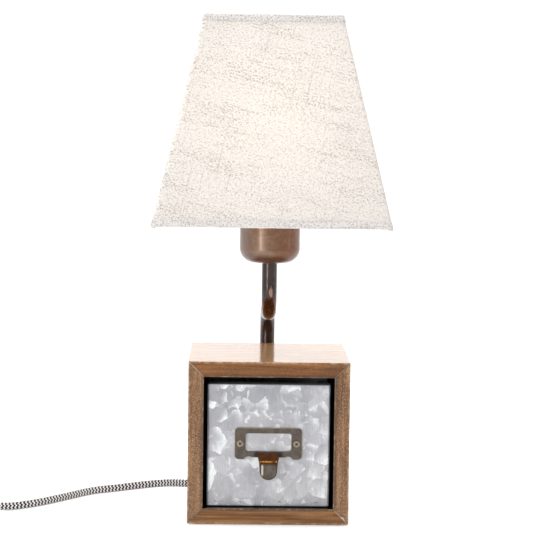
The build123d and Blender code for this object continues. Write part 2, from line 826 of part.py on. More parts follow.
# strap round the coil's bundle, towards the back
TIE_A = 68.0
tie_plane = Plane(
    origin=(
        COIL_C[0] + COIL_RM * cos(radians(TIE_A)),
        COIL_C[1] + COIL_RM * sin(radians(TIE_A)),
        COIL_Z0 + COIL_H / 2,
    ),
    x_dir=(cos(radians(TIE_A)), sin(radians(TIE_A)), 0),
    z_dir=(-sin(radians(TIE_A)), cos(radians(TIE_A)), 0),
)
with BuildPart() as coil_tie:
    with BuildSketch(tie_plane.offset(-4.0)):
        RectangleRounded(2 * COIL_B + 1.0, COIL_H + 0.9, 3.0)
        RectangleRounded(2 * COIL_B + 0.1, COIL_H + 0.1, 2.6, mode=Mode.SUBTRACT)
    extrude(amount=8.0)

# ------------------------------------------------------------ inline switch
SW_H = 20.0
SW_W = 25.0
SW_SPLIT = 9.0
PIVOT_H = 17.8
sw_mid = (
    (SW_IN[0] + SW_OUT[0]) / 2,
    (SW_IN[1] + SW_OUT[1]) / 2,
)
SW = Plane(origin=(*sw_mid, 0.0), x_dir=(SW_DIR[0], SW_DIR[1], 0), z_dir=(0, 0, 1))
HALF = SWITCH_L / 2


def switch_shell():
    """The closed outer form of the switch housing, hollowed inside."""
    with BuildPart(mode=Mode.PRIVATE) as body:
        with BuildSketch(SW.offset(0.2)):
            with BuildLine():
                l1 = Line((-HALF, -5.6), (-HALF, 5.6))
                s1 = Spline(
                    l1 @ 1, (-13.0, SW_W / 2), (13.0, SW_W / 2), (HALF, 5.6),
                    tangents=[(1, 0.75), (1, -0.75)],
                )
                l2 = Line(s1 @ 1, (HALF, -5.6))
                Spline(
                    l2 @ 1, (13.0, -SW_W / 2), (-13.0, -SW_W / 2), l1 @ 0,
                    tangents=[(-1, -0.75), (-1, 0.75)],
                )
            make_face()
        extrude(amount=SW_H - 0.2)
        fillet(body.faces().sort_by(Axis.Z)[-1].edges(), 2.4)
        fillet(body.faces().sort_by(Axis.Z)[0].edges(), 1.2)
        # hollow for the terminals
        with BuildSketch(SW.offset(2.4)):
            Rectangle(36.0, 19.0)
        extrude(amount=12.6, mode=Mode.SUBTRACT)
        # cord ways at both ends
        with BuildSketch(Plane(origin=(*SW_IN[:2], 8.0), z_dir=(SW_DIR[0], SW_DIR[1], 0))):
            Circle(CORD_R + 0.1)
        extrude(amount=SWITCH_L, mode=Mode.SUBTRACT)
    return body.part


POCKET_L, POCKET_W = 20.4, 10.6
ROCK_W = 10.0
PIN_L = 15.0
SWITCH_SCREWS = [(-20.0, 6.3), (20.0, -6.3)]
with BuildPart() as switch_base:
    add(switch_shell())
    split(bisect_by=Plane(origin=(0, 0, SW_SPLIT), z_dir=(0, 0, 1)), keep=Keep.BOTTOM)
    # two screws come up from below, one each side of the cord
    with BuildSketch(SW):
        with Locations(*SWITCH_SCREWS):
            Circle(1.95)
    extrude(amount=2.2, mode=Mode.SUBTRACT)
    with BuildSketch(SW):
        with Locations(*SWITCH_SCREWS):
            Circle(1.02)
    extrude(amount=SW_SPLIT + 1, mode=Mode.SUBTRACT)

with BuildPart() as switch_cover:
    add(switch_shell())
    split(bisect_by=Plane(origin=(0, 0, SW_SPLIT), z_dir=(0, 0, 1)), keep=Keep.TOP)
    with BuildSketch(SW.offset(14.0)):
        Rectangle(POCKET_L, POCKET_W)
    extrude(amount=8, mode=Mode.SUBTRACT)
    with BuildSketch(Plane(origin=(*sw_mid, PIVOT_H), z_dir=(-SW_DIR[1], SW_DIR[0], 0))):
        Circle(1.02)
    extrude(amount=PIN_L / 2, both=True, mode=Mode.SUBTRACT)
    with BuildSketch(SW.offset(SW_SPLIT - 1)):
        with Locations(*SWITCH_SCREWS):
            Circle(1.02)
    extrude(amount=6.5, mode=Mode.SUBTRACT)

with BuildPart() as switch_screws:
    with BuildSketch(SW.offset(0.5)):
        with Locations(*SWITCH_SCREWS):
            Circle(1.9)
    extrude(amount=1.7)
    with BuildSketch(SW.offset(2.2)):
        with Locations(*SWITCH_SCREWS):
            Circle(1.0)
    extrude(amount=11.8)
    with BuildSketch(SW.offset(0.5)):
        with Locations(*SWITCH_SCREWS):
            Rectangle(2.4, 0.55, rotation=30)
            Rectangle(0.55, 2.4, rotation=30)
    extrude(amount=0.8, mode=Mode.SUBTRACT)

# rocker: ends are arcs about the pivot, the top is a shallow vee
ROCK_R = 9.7
ROCK_TILT = 7.0
_t = radians(ROCK_TILT)
rock_plane = Plane(
    origin=(*sw_mid, PIVOT_H),
    x_dir=(cos(_t) * SW_DIR[0], cos(_t) * SW_DIR[1], sin(_t)),
    z_dir=(SW_DIR[1], -SW_DIR[0], 0),
)
with BuildPart() as switch_rocker:
    with BuildSketch(rock_plane.offset(-ROCK_W / 2)):
        Circle(ROCK_R)
        with BuildLine(mode=Mode.PRIVATE) as cut:
            Polyline(
                (-12, -1.9),
                (12, -1.9),
                (12, 3.95),
                (0, 2.3),
                (-12, 3.95),
                close=True,
            )
        make_face(cut.edges(), mode=Mode.INTERSECT)
        Circle(1.08, mode=Mode.SUBTRACT)
    extrude(amount=ROCK_W)

with BuildPart() as switch_pin:
    with BuildSketch(Plane(origin=(*sw_mid, PIVOT_H), z_dir=(-SW_DIR[1], SW_DIR[0], 0))):
        Circle(1.0)
    extrude(amount=PIN_L / 2, both=True)

# -------------------------------------------------------------------- plug
PLUG_BODY_Y1 = PLUG_TAIL_Y - 20.0
PLUG_BODY_L = 33.0
PLUG_FACE_Y = PLUG_BODY_Y1 - PLUG_BODY_L
PIN_SPACING = 19.0
with BuildPart() as plug_body:
    with BuildSketch(Plane.XY):
        with BuildLine():
            l1 = Line((PLUG_X - 17.2, PLUG_FACE_Y), (PLUG_X + 17.2, PLUG_FACE_Y))
            l2 = Line(l1 @ 1, (PLUG_X + 17.2, PLUG_FACE_Y + 9))
            s1 = Spline(
                l2 @ 1, (PLUG_X + 11.0, PLUG_FACE_Y + 24), (PLUG_X + 6.8, PLUG_BODY_Y1),
                tangents=[(0, 1), (-0.2, 1)],
            )
            l3 = Line(s1 @ 1, (PLUG_X - 6.8, PLUG_BODY_Y1))
            s2 = Spline(
                l3 @ 1, (PLUG_X - 11.0, PLUG_FACE_Y + 24), (PLUG_X - 17.2, PLUG_FACE_Y + 9),
                tangents=[(-0.2, -1), (0, -1)],
            )
            Line(s2 @ 1, l1 @ 0)
        make_face()
    extrude(amount=2 * PLUG_Z)
    fillet(plug_body.edges().group_by(Axis.Z)[-1], 3.0)
    fillet(plug_body.edges().group_by(Axis.Z)[0], 2.0)
    # ribbed relief where the cord enters
    with BuildSketch(Plane.XY.offset(PLUG_Z)):
        with BuildLine():
            Polyline(
                (PLUG_X, PLUG_BODY_Y1 - 3),
                (PLUG_X + 6.4, PLUG_BODY_Y1 - 3),
                (PLUG_X + 6.0, PLUG_BODY_Y1 + 3),
                (PLUG_X + 5.2, PLUG_BODY_Y1 + 3),
                (PLUG_X + 5.1, PLUG_BODY_Y1 + 4.6),
                (PLUG_X + 5.8, PLUG_BODY_Y1 + 4.6),
                (PLUG_X + 5.5, PLUG_BODY_Y1 + 8),
                (PLUG_X + 4.8, PLUG_BODY_Y1 + 8),
                (PLUG_X + 4.7, PLUG_BODY_Y1 + 9.6),
                (PLUG_X + 5.4, PLUG_BODY_Y1 + 9.6),
                (PLUG_X + 5.1, PLUG_BODY_Y1 + 13),
                (PLUG_X + 4.5, PLUG_BODY_Y1 + 13),
                (PLUG_X + 4.4, PLUG_BODY_Y1 + 14.6),
                (PLUG_X + 5.0, PLUG_BODY_Y1 + 14.6),
                (PLUG_X + 4.3, PLUG_TAIL_Y),
                (PLUG_X, PLUG_TAIL_Y),
                close=True,
            )
        make_face()
    revolve(axis=Axis((PLUG_X, 0, PLUG_Z), (0, 1, 0)))
    with BuildSketch(Plane.XZ.offset(-PLUG_FACE_Y)):
        with Locations(
            (PLUG_X - PIN_SPACING / 2, PLUG_Z), (PLUG_X + PIN_SPACING / 2, PLUG_Z)
        ):
            Circle(2.02)
    extrude(amount=-8, mode=Mode.SUBTRACT)

with BuildPart() as plug_pins:
    with BuildSketch(Plane.XZ.offset(-PLUG_FACE_Y - 7.9)):
        with Locations(
            (PLUG_X - PIN_SPACING / 2, PLUG_Z), (PLUG_X + PIN_SPACING / 2, PLUG_Z)
        ):
            Circle(2.0)
    extrude(amount=7.9 + 19.0)
    fillet(plug_pins.faces().sort_by(Axis.Y)[0:2].edges(), 1.2)

# ------------------------------------------------------------------ export
nodes = dict(
    top_board=top_board,
    bottom_board=bottom_board,
    left_board=left_board,
    right_board=right_board,
    back_panel=back_panel,
    panel_brads=panel_brads,
    base_felt=base_felt,
    drawer_front=drawer_front,
    drawer_tray=drawer_tray,
    drawer_glides=drawer_glides,
    label_pull=label_pull,
    pull_screws=pull_screws,
    pull_nuts=pull_nuts,
    stem_tube=stem_tube,
    lower_saddle=lower_saddle,
    upper_saddle=upper_saddle,
    saddle_screws=saddle_screws,
    cord_relief=cord_relief,
    inner_lead=inner_lead,
    socket_cup=socket_cup,
    stem_nipple=stem_nipple,
    cup_washer=cup_washer,
    nipple_nut=nipple_nut,
    holder_cap=holder_cap,
    contact_block=contact_block,
    terminal_screws=terminal_screws,
    centre_contact=centre_contact,
    holder_body=holder_body,
    screw_shell=screw_shell,
    shade_ring=shade_ring,
    bulb_cap=bulb_cap,
    bulb_glass=bulb_glass,
    bulb_mount=bulb_mount,
    bulb_filaments=bulb_filaments,
    shade_fabric=shade_fabric,
    shade_liner=shade_liner,
    shade_bottom_wire=shade_bottom_wire,
    shade_top_wire=shade_top_wire,
    shade_spider=shade_spider,
    hem_bottom=hem_bottom,
    hem_top=hem_top,
    cord=cord,
    cord_mid=cord_mid,
    cord_tail=cord_tail,
    cord_coil=cord_coil,
    coil_tie=coil_tie,
    switch_base=switch_base,
    switch_cover=switch_cover,
    switch_rocker=switch_rocker,
    switch_pin=switch_pin,
    switch_screws=switch_screws,
    plug_body=plug_body,
    plug_pins=plug_pins,
)
for name, builder in nodes.items():
    save(builder, name)
print(len(nodes), "nodes")
print(
    "switch: middle",
    [round(v, 2) for v in sw_mid],
    "direction",
    [round(v, 4) for v in SW_DIR],
    "cord in",
    SW_IN,
    "cord out",
    [round(v, 2) for v in SW_OUT],
)
print("cord points", [tuple(round(v, 2) for v in p) for p in ROUTE_MID])
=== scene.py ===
import bpy
import math
from math import atan, cos, hypot, pi, radians, sin, sqrt, tau
from mathutils import Matrix, Vector, noise


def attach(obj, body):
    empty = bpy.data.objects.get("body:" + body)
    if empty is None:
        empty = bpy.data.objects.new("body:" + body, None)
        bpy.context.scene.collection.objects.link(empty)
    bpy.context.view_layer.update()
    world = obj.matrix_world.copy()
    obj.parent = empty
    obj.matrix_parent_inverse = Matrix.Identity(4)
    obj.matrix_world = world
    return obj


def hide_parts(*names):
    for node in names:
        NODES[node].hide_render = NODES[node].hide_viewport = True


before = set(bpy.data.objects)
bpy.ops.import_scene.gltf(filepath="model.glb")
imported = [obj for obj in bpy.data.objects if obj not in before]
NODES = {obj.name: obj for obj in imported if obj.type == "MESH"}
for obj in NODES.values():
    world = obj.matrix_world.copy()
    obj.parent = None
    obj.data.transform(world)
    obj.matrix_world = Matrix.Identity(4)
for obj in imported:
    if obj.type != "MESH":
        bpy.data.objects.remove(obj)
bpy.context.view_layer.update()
SCENE = bpy.context.scene
SCENE.view_settings.view_transform = "Standard"
SCENE.view_settings.look = "None"

MM = 0.001
FRONT_HALF, FRONT_LOW, FRONT_TOP = 0.0495, 0.0141, 0.1134   # the drawer's front sheet


# ------------------------------------------------------------------ camera
def make_camera():
    data = bpy.data.cameras.new("camera")
    data.lens = 141.09
    data.sensor_width = 36.0
    data.clip_start = 0.05
    data.clip_end = 60.0
    cam = bpy.data.objects.new("camera", data)
    SCENE.collection.objects.link(cam)
    yaw, pitch, roll = radians(0.9653), radians(-4.819), radians(0.7557)
    fwd = Vector((sin(yaw) * cos(pitch), cos(yaw) * cos(pitch), sin(pitch)))
    right = Vector((cos(yaw), -sin(yaw), 0.0))
    up = right.cross(fwd)
    r2 = right * cos(roll) + up * sin(roll)
    u2 = up * cos(roll) - right * sin(roll)
    turn = Matrix((r2, u2, -fwd)).transposed().to_4x4()
    turn.translation = Vector((-0.02902, -1.74595, 0.34827))
    cam.matrix_world = turn
    SCENE.camera = cam


make_camera()


# ------------------------------------------------------- node tree helpers
class Tree:
    """A small writer of shader node trees."""

    def __init__(self, name):
        self.m = bpy.data.materials.new(name)
        self.m.use_nodes = True
        self.t = self.m.node_tree
        self.t.nodes.clear()
        self._coords = None

    def node(self, kind, ins=None, **props):
        n = self.t.nodes.new(kind)
        for k, v in props.items():
            setattr(n, k, v)
        for k, v in (ins or {}).items():
            self.put(n.inputs[k], v)
        return n

    def put(self, socket, v):
        if isinstance(v, bpy.types.NodeSocket):
            self.t.links.new(v, socket)
        elif isinstance(v, (tuple, list)) and socket.type == "RGBA" and len(v) == 3:
            socket.default_value = (*v, 1.0)
        else:
            socket.default_value = v

    def obj(self):
        if self._coords is None:
            self._coords = self.node("ShaderNodeTexCoord").outputs["Object"]
        return self._coords

    def attr(self, name):
        return self.node("ShaderNodeAttribute", attribute_name=name).outputs["Vector"]

    def xyz(self, v=None):
        n = self.node("ShaderNodeSeparateXYZ", {0: v if v is not None else self.obj()})
        return n.outputs[0], n.outputs[1], n.outputs[2]

    def vec(self, x, y, z):
        return self.node("ShaderNodeCombineXYZ", {0: x, 1: y, 2: z}).outputs[0]

    def map(self, v, scale=(1, 1, 1), rot=(0, 0, 0), loc=(0, 0, 0)):
        return self.node(
            "ShaderNodeMapping", {"Vector": v, "Scale": scale, "Rotation": rot, "Location": loc}
        ).outputs[0]

    def noise(self, v, scale, detail=2.0, rough=0.5, distortion=0.0, out="Fac"):
        return self.node(
            "ShaderNodeTexNoise",
            {"Vector": v, "Scale": scale, "Detail": detail, "Roughness": rough, "Distortion": distortion},
        ).outputs[out]

    def math(self, op, a, b=0.0, c=0.0, clamp=False):
        n = self.node("ShaderNodeMath", operation=op, use_clamp=clamp)
        self.put(n.inputs[0], a)
        if len(n.inputs) > 1:
            self.put(n.inputs[1], b)
        if len(n.inputs) > 2:
            self.put(n.inputs[2], c)
        return n.outputs[0]

    def add(self, a, b):
        return self.math("ADD", a, b)

    def sub(self, a, b):
        return self.math("SUBTRACT", a, b)

    def mul(self, a, b):
        return self.math("MULTIPLY", a, b)

    def step(self, v, lo, hi, a=0.0, b=1.0):
        """A smooth rise from a to b as v goes from lo to hi (hi may be below lo)."""
        if hi < lo:
            lo, hi, a, b = hi, lo, b, a
        return self.node(
            "ShaderNodeMapRange",
            {"Value": v, "From Min": lo, "From Max": hi, "To Min": a, "To Max": b},
            interpolation_type="SMOOTHSTEP",
        ).outputs[0]

    def lin(self, v, lo, hi, a=0.0, b=1.0):
        return self.node(
            "ShaderNodeMapRange",
            {"Value": v, "From Min": lo, "From Max": hi, "To Min": a, "To Max": b},
        ).outputs[0]

    def mix(self, f, a, b, blend="MIX"):
        n = self.node("ShaderNodeMix", data_type="RGBA", blend_type=blend)
        self.put(n.inputs[0], f)
        self.put(n.inputs[6], a)
        self.put(n.inputs[7], b)
        return n.outputs[2]

    def ramp(self, f, stops, interpolation="LINEAR"):
        n = self.node("ShaderNodeValToRGB", {0: f})
        r = n.color_ramp
        r.interpolation = interpolation
        while len(r.elements) < len(stops):
            r.elements.new(0.5)
        for e, (pos, col) in zip(r.elements, stops):
            e.position = pos
            e.color = (*col, 1.0)
        return n.outputs[0]

    def bump(self, height, dist, strength=1.0, normal=None):
        ins = {"Height": height, "Distance": dist, "Strength": strength}
        if normal is not None:
            ins["Normal"] = normal
        return self.node("ShaderNodeBump", ins).outputs[0]

    def shader(self, **ins):
        names = {k.replace("_", " "): v for k, v in ins.items()}
        return self.node("ShaderNodeBsdfPrincipled", names).outputs[0]

    def out(self, s):
        self.node("ShaderNodeOutputMaterial", {"Surface": s})
        return self.m


def wear_and_grain(t, v, amount=0.5, scale=900.0):
    """Fine roughness noise."""
    return t.noise(v, scale, 3.0, 0.6)


def wear(t, base, wear_col, scale=260.0, lo=0.62, hi=0.74):
    f = t.step(t.noise(t.obj(), scale, 4.0, 0.6), lo, hi)
    return t.mix(f, base, wear_col)


# --------------------------------------------------------- simple finishes
def plain(name, col, rough, metallic=0.0, mottle=0.12, scale=140.0, grain=900.0,
          bump=0.00004, coat=0.0, spec=0.5, second=None):
    t = Tree(name)
    v = t.obj()
    big = t.noise(v, scale, 4.0, 0.55)
    fine = t.noise(v, grain, 3.0, 0.6)
    dark = tuple(c * (1 - mottle * 1.6) for c in col)
    lite = second or tuple(min(1.0, c * (1 + mottle)) for c in col)
    c = t.mix(t.step(big, 0.32, 0.68), dark, lite)
    r = t.lin(fine, 0.25, 0.75, max(rough - 0.08, 0.02), rough + 0.08)
    n = t.bump(fine, bump, 0.5)
    s = t.shader(Base_Color=c, Roughness=r, Metallic=metallic, Normal=n, Coat_Weight=coat,
                 Coat_Roughness=0.12, Specular_IOR_Level=spec)
    return t.out(s)


def emission(name, col, strength):
    t = Tree(name)
    f = t.noise(t.obj(), 500.0, 2.0, 0.5)
    c = t.mix(t.step(f, 0.3, 0.7), col, tuple(min(1, x * 1.06) for x in col))
    return t.out(t.shader(Base_Color=c, Emission_Color=c, Emission_Strength=strength, Roughness=0.4))


# -------------------------------------------------------------------- wood
def wood(name, along, seed):
    """Stained, varnished board. along is 0 when the grain runs on X, 2 on Z."""
    t = Tree(name)
    v = t.obj()
    x, y, z = t.xyz()
    k = [330.0, 330.0, 330.0]
    k[along] = 11.0
    v2 = t.map(v, tuple(k), loc=(seed, seed * 1.7, seed * 0.6))
    streak = t.noise(v2, 1.0, 5.0, 0.62, 0.35)
    k = [1500.0, 1500.0, 1500.0]
    k[along] = 60.0
    fine = t.noise(t.map(v, tuple(k), loc=(seed * 3, 0, seed)), 1.0, 3.0, 0.6)
    k = [70.0, 70.0, 70.0]
    k[along] = 9.0
    broad = t.noise(t.map(v, tuple(k), loc=(seed * 2, 1, seed)), 1.0, 3.0, 0.55)
    speck = t.noise(v, 1150.0, 2.0, 0.6)
    if along == 2:
        cols = [(0.30, (0.105, 0.040, 0.012)), (0.42, (0.190, 0.082, 0.028)),
                (0.55, (0.285, 0.135, 0.054)), (0.70, (0.400, 0.210, 0.098))]
        pale, dust_col, dark = (0.370, 0.200, 0.098), (0.66, 0.46, 0.29), (0.046, 0.018, 0.006)
    else:
        cols = [(0.32, (0.068, 0.017, 0.002)), (0.43, (0.150, 0.045, 0.006)),
                (0.54, (0.245, 0.085, 0.015)), (0.68, (0.370, 0.150, 0.038))]
        pale, dust_col, dark = (0.315, 0.122, 0.028), (0.52, 0.28, 0.12), (0.034, 0.009, 0.001)
    c = t.ramp(streak, cols)
    c = t.mix(t.step(fine, 0.48, 0.70, 0.0, 0.45), c, dark)
    c = t.mix(t.step(broad, 0.44, 0.62, 0.0, 0.40), c, pale)
    k = [34.0, 34.0, 34.0]
    k[along] = 14.0
    cast = t.noise(t.map(v, tuple(k), loc=(seed, 3, seed * 4)), 1.0, 2.0, 0.5)
    c = t.mix(t.step(cast, 0.54, 0.40, 0.0, 0.34), c, dark)
    c = t.mix(t.step(speck, 0.54, 0.66, 0.0, 0.42 if along == 2 else 0.22), c, dust_col)
    c = t.mix(t.step(speck, 0.46, 0.34, 0.0, 0.62 if along == 2 else 0.40), c, dark)
    # the top of the case is painted lighter and warmer: painted light where it faces the lamps, and it is the most
    # worn
    if along == 0:
        top_lit_and_worn = t.step(z, 0.1320, 0.13245)
        grain = t.noise(t.map(v, (13.0, 520.0, 520.0), loc=(4, 2, 7)), 1.0, 4.0, 0.6)
        warm = t.mix(t.step(grain, 0.42, 0.62), (0.60, 0.330, 0.135), (0.30, 0.130, 0.042))
        c = t.mix(top_lit_and_worn, c, warm)
        low_rail = t.mix(t.step(streak, 0.40, 0.58), (0.20, 0.075, 0.018), (0.50, 0.250, 0.085))
        c = t.mix(t.step(z, 0.0140, 0.0120, 0.0, 0.50), c, low_rail)
    # pale lines along the case's edges, partly wear and partly painted highlight where the rounded edges catch the
    # light; and the mitre lines
    ax = t.math("ABSOLUTE", x)
    fy = t.add(y, 0.065)

    def near(a, b):
        return t.math("SQRT", t.add(t.mul(a, a), t.mul(b, b)))

    outer_side = near(t.sub(0.065, ax), fy)
    inner_side = near(t.sub(ax, 0.0525), fy)
    outer_top = near(t.sub(0.1325, z), fy)
    inner_top = near(t.sub(z, 0.120), fy)
    outer_low = near(t.sub(z, 0.001), fy)
    inner_low = near(t.sub(0.0135, z), fy)
    if along == 2:
        e_out, e_in = outer_side, inner_side
    else:
        e_out = t.math("MINIMUM", outer_top, outer_low)
        e_in = t.math("MINIMUM", inner_top, inner_low)
    wn = t.noise(v, 240.0, 4.0, 0.65)
    out_edge_wear_and_highlight = t.mul(t.step(e_out, 0.0019, 0.0006), t.step(wn, 0.44, 0.60, 0.12, 0.8))
    in_edge_wear_and_highlight = t.mul(t.step(e_in, 0.0012, 0.0004), t.step(wn, 0.50, 0.64, 0.05, 0.6))
    # soft dark band along the front's inner edges
    band = t.mul(t.step(e_in, 0.0036, 0.0010), 0.50)
    c = t.mix(band, c, (0.040, 0.015, 0.006))
    c = t.mix(out_edge_wear_and_highlight, c, (0.52, 0.38, 0.25))
    c = t.mix(in_edge_wear_and_highlight, c, (0.50, 0.36, 0.24))
    # mitre lines
    top_gap = t.math("ABSOLUTE", t.sub(t.sub(ax, 0.065), t.sub(z, 0.1325)))
    low_gap = t.math("ABSOLUTE", t.add(t.sub(ax, 0.065), t.sub(z, 0.001)))
    gap = t.math("MINIMUM", top_gap, low_gap)
    mn = t.noise(v, 520.0, 4.0, 0.65)
    # the line is widest near the top left corner and near the low right one
    left = t.step(x, -0.050, -0.056)
    right = t.step(x, 0.050, 0.056)
    upper = t.step(z, 0.115, 0.122)
    lower = t.step(z, 0.020, 0.012)
    strong = t.math("MAXIMUM", t.mul(left, upper), t.mul(right, lower))
    width = t.add(t.lin(mn, 0.3, 0.7, 0.00005, 0.00036), t.mul(strong, 0.00022))
    front = t.step(y, -0.0640, -0.0646)
    line = t.mul(t.mul(t.math("LESS_THAN", gap, width), front), t.add(t.mul(strong, 0.35), 0.5))
    c = t.mix(line, c, (0.62, 0.52, 0.42))
    shade = t.mul(t.mul(t.step(gap, 0.0018, 0.0003), front), 0.35)
    c = t.mix(shade, c, (0.05, 0.022, 0.01))
    # a small chip at the low right mitre
    cx = t.sub(x, 0.0605)
    cz = t.sub(z, 0.0062)
    along_m = t.math("ABSOLUTE", t.add(cx, t.mul(cz, -1.0)))
    chip = t.mul(t.math("LESS_THAN", t.add(t.mul(near(cx, cz), 0.55), t.mul(t.math("ABSOLUTE", t.add(cx, cz)), 1.1)),
                        t.lin(mn, 0.3, 0.7, 0.0006, 0.0022)), front)
    c = t.mix(t.mul(chip, 0.8), c, (0.66, 0.58, 0.48))
    # the inside of the case is painted black, and darker still as painted shade inside the case
    inside = t.mul(
        t.mul(t.math("LESS_THAN", ax, 0.05262), t.math("GREATER_THAN", y, -0.0640)),
        t.mul(t.math("LESS_THAN", z, 0.12012), t.math("GREATER_THAN", z, 0.01338)),
    )
    dust = t.step(t.noise(v, 420.0, 4.0, 0.6), 0.55, 0.8, 0.0, 0.12)
    c = t.mix(inside, c, t.mix(dust, (0.0045, 0.0045, 0.005), (0.05, 0.05, 0.055)))
    height = t.add(t.mul(fine, 0.6), t.mul(streak, 0.5))
    height = t.sub(height, t.mul(line, 1.2))
    n = t.bump(height, 0.00010, 0.45)
    n2 = t.bump(t.add(t.noise(v, 60.0, 2.0, 0.5), t.mul(streak, 0.25)), 0.00022, 0.20)
    rough = t.add(t.lin(fine, 0.3, 0.7, 0.42, 0.58), t.mul(inside, 0.12))
    s = t.shader(Base_Color=c, Roughness=rough, Normal=n, Coat_Weight=0.95, Coat_Roughness=0.12, Coat_IOR=1.36,
                 Coat_Normal=n2, Specular_IOR_Level=0.14)
    return t.out(s)


# --------------------------------------------------------- galvanised sheet
def galvanised():
    t = Tree("galvanised_spangle")
    v = t.obj()
    x, y, z = t.xyz()
    warp = t.noise(v, 105.0, 1.6, 0.5, out="Color")
    off = t.node("ShaderNodeVectorMath", {0: warp, 1: (0.5, 0.5, 0.5)}, operation="SUBTRACT").outputs[0]
    off = t.node("ShaderNodeVectorMath", {0: off, "Scale": 0.0090}, operation="SCALE").outputs[0]
    p = t.node("ShaderNodeVectorMath", {0: v, 1: off}, operation="ADD").outputs[0]

    def crystals(scale, loc):
        """A crystal's slope, from its dull side to its bright edge, and its own tone."""
        q = t.map(p, (1.0, 1.0, 1.0), loc=loc)
        vor = t.node("ShaderNodeTexVoronoi", {"Vector": q, "Scale": scale, "Randomness": 1.0})
        local = t.node("ShaderNodeVectorMath", {0: q, 1: vor.outputs["Position"]}, operation="SUBTRACT").outputs[0]
        way = t.node("ShaderNodeVectorMath", {0: vor.outputs["Color"], 1: (0.5, 0.5, 0.5)},
                     operation="SUBTRACT").outputs[0]
        way = t.node("ShaderNodeVectorMath", {0: way}, operation="NORMALIZE").outputs[0]
        along = t.node("ShaderNodeVectorMath", {0: local, 1: way}, operation="DOT_PRODUCT").outputs["Value"]
        tone = t.node("ShaderNodeSeparateColor", {0: vor.outputs["Color"]}).outputs[0]
        return t.mul(along, scale), tone

    a1, t1 = crystals(84.0, (0.013, 0.0, 0.021))
    a2, t2 = crystals(150.0, (0.41, 0.0, 0.13))
    f1 = t.mul(t.math("POWER", t.lin(a1, -0.34, 0.42), 2.0), t.step(t1, 0.12, 0.70, 0.15, 1.0))
    f2 = t.mul(t.math("POWER", t.lin(a2, -0.22, 0.42), 2.4), t.step(t2, 0.35, 0.85))
    area_f = t.step(t.noise(v, 34.0, 2.0, 0.5), 0.36, 0.62, 0.45, 1.0)
    fibre = t.noise(t.map(v, (2100.0, 60.0, 70.0)), 1.0, 3.0, 0.6)
    grit = t.noise(v, 1250.0, 3.0, 0.7)
    f = t.math("ADD", t.mul(t.mul(f1, area_f), 0.95), t.mul(f2, 0.55), clamp=True)
    f = t.math("ADD", f, t.mul(t.sub(grit, 0.5), 0.34), clamp=True)
    base = t.mix(t.step(t.noise(v, 48.0, 3.0, 0.55), 0.36, 0.64), (0.380, 0.383, 0.418), (0.465, 0.467, 0.505))
    base = t.mix(t.step(t.noise(v, 26.0, 2.0, 0.5), 0.42, 0.64, 0.0, 0.5), base, (0.485, 0.462, 0.468))
    # painted light: the sheet is painted lighter towards the bottom, for the light thrown up from the floor
    base = t.mix(t.lin(z, 0.100, 0.020, 0.0, 0.35), base, (0.66, 0.645, 0.665))
    a3, t3 = crystals(52.0, (0.23, 0.0, 0.57))
    base = t.mix(t.mul(t.lin(a3, -0.40, 0.40), t.step(t3, 0.3, 0.8, 0.0, 0.40)), base, (0.74, 0.75, 0.79))
    base = t.mix(t.step(t1, 0.42, 0.12, 0.0, 0.22), base, (0.30, 0.30, 0.33))
    c = t.mix(f, base, (0.97, 1.0, 1.0))
    c = t.mix(t.step(fibre, 0.50, 0.70, 0.0, 0.32), c, (0.27, 0.27, 0.30))
    c = t.mix(t.step(grit, 0.42, 0.30, 0.0, 0.45), c, (0.25, 0.24, 0.26))
    pit = t.step(t.noise(v, 700.0, 1.0, 0.5), 0.735, 0.765, 0.0, 0.6)
    c = t.mix(pit, c, (0.12, 0.11, 0.11))
    # a painted highlight along the fold round the front sheet's edge, and the spots where the tray is welded on
    front = t.step(y, -0.0560, -0.0566)
    ax = t.math("ABSOLUTE", x)
    fold_highlight = t.math("MAXIMUM", t.step(ax, FRONT_HALF - 0.0010, FRONT_HALF - 0.0004),
                 t.step(z, FRONT_TOP - 0.0009, FRONT_TOP - 0.0003))
    c = t.mix(t.mul(fold_highlight, 0.6), c, (0.86, 0.87, 0.92))
    for dx, dz in ((-0.0421, 0.0031), (-0.0229, 0.0030), (0.0094, 0.0032), (0.0392, 0.0028)):
        ex, ez = t.sub(x, dx), t.sub(z, FRONT_LOW + dz)
        r = t.math("SQRT", t.add(t.mul(ex, ex), t.mul(ez, ez)))
        r = t.add(r, t.mul(t.sub(grit, 0.5), 0.0010))
        # each weld dimple is drawn in painted light: a painted shaded crescent, darker on its upper side, and a
        # painted highlight at its centre
        ring = t.mul(t.step(t.math("ABSOLUTE", t.sub(r, 0.00085)), 0.00050, 0.00022), front)
        c = t.mix(t.mul(ring, t.step(ez, -0.0006, 0.0004, 0.15, 0.7)), c, (0.10, 0.10, 0.11))
        c = t.mix(t.mul(t.mul(t.step(r, 0.00060, 0.00035), front), 0.6), c, (0.88, 0.88, 0.90))
    n = t.bump(t.add(t.mul(f, 0.35), t.mul(fibre, 0.5)), 0.00006, 0.5)
    s = t.shader(Base_Color=c, Metallic=0.50, Roughness=t.lin(grit, 0.3, 0.7, 0.38, 0.50), Normal=n,
                 Specular_IOR_Level=0.4)
    return t.out(s)


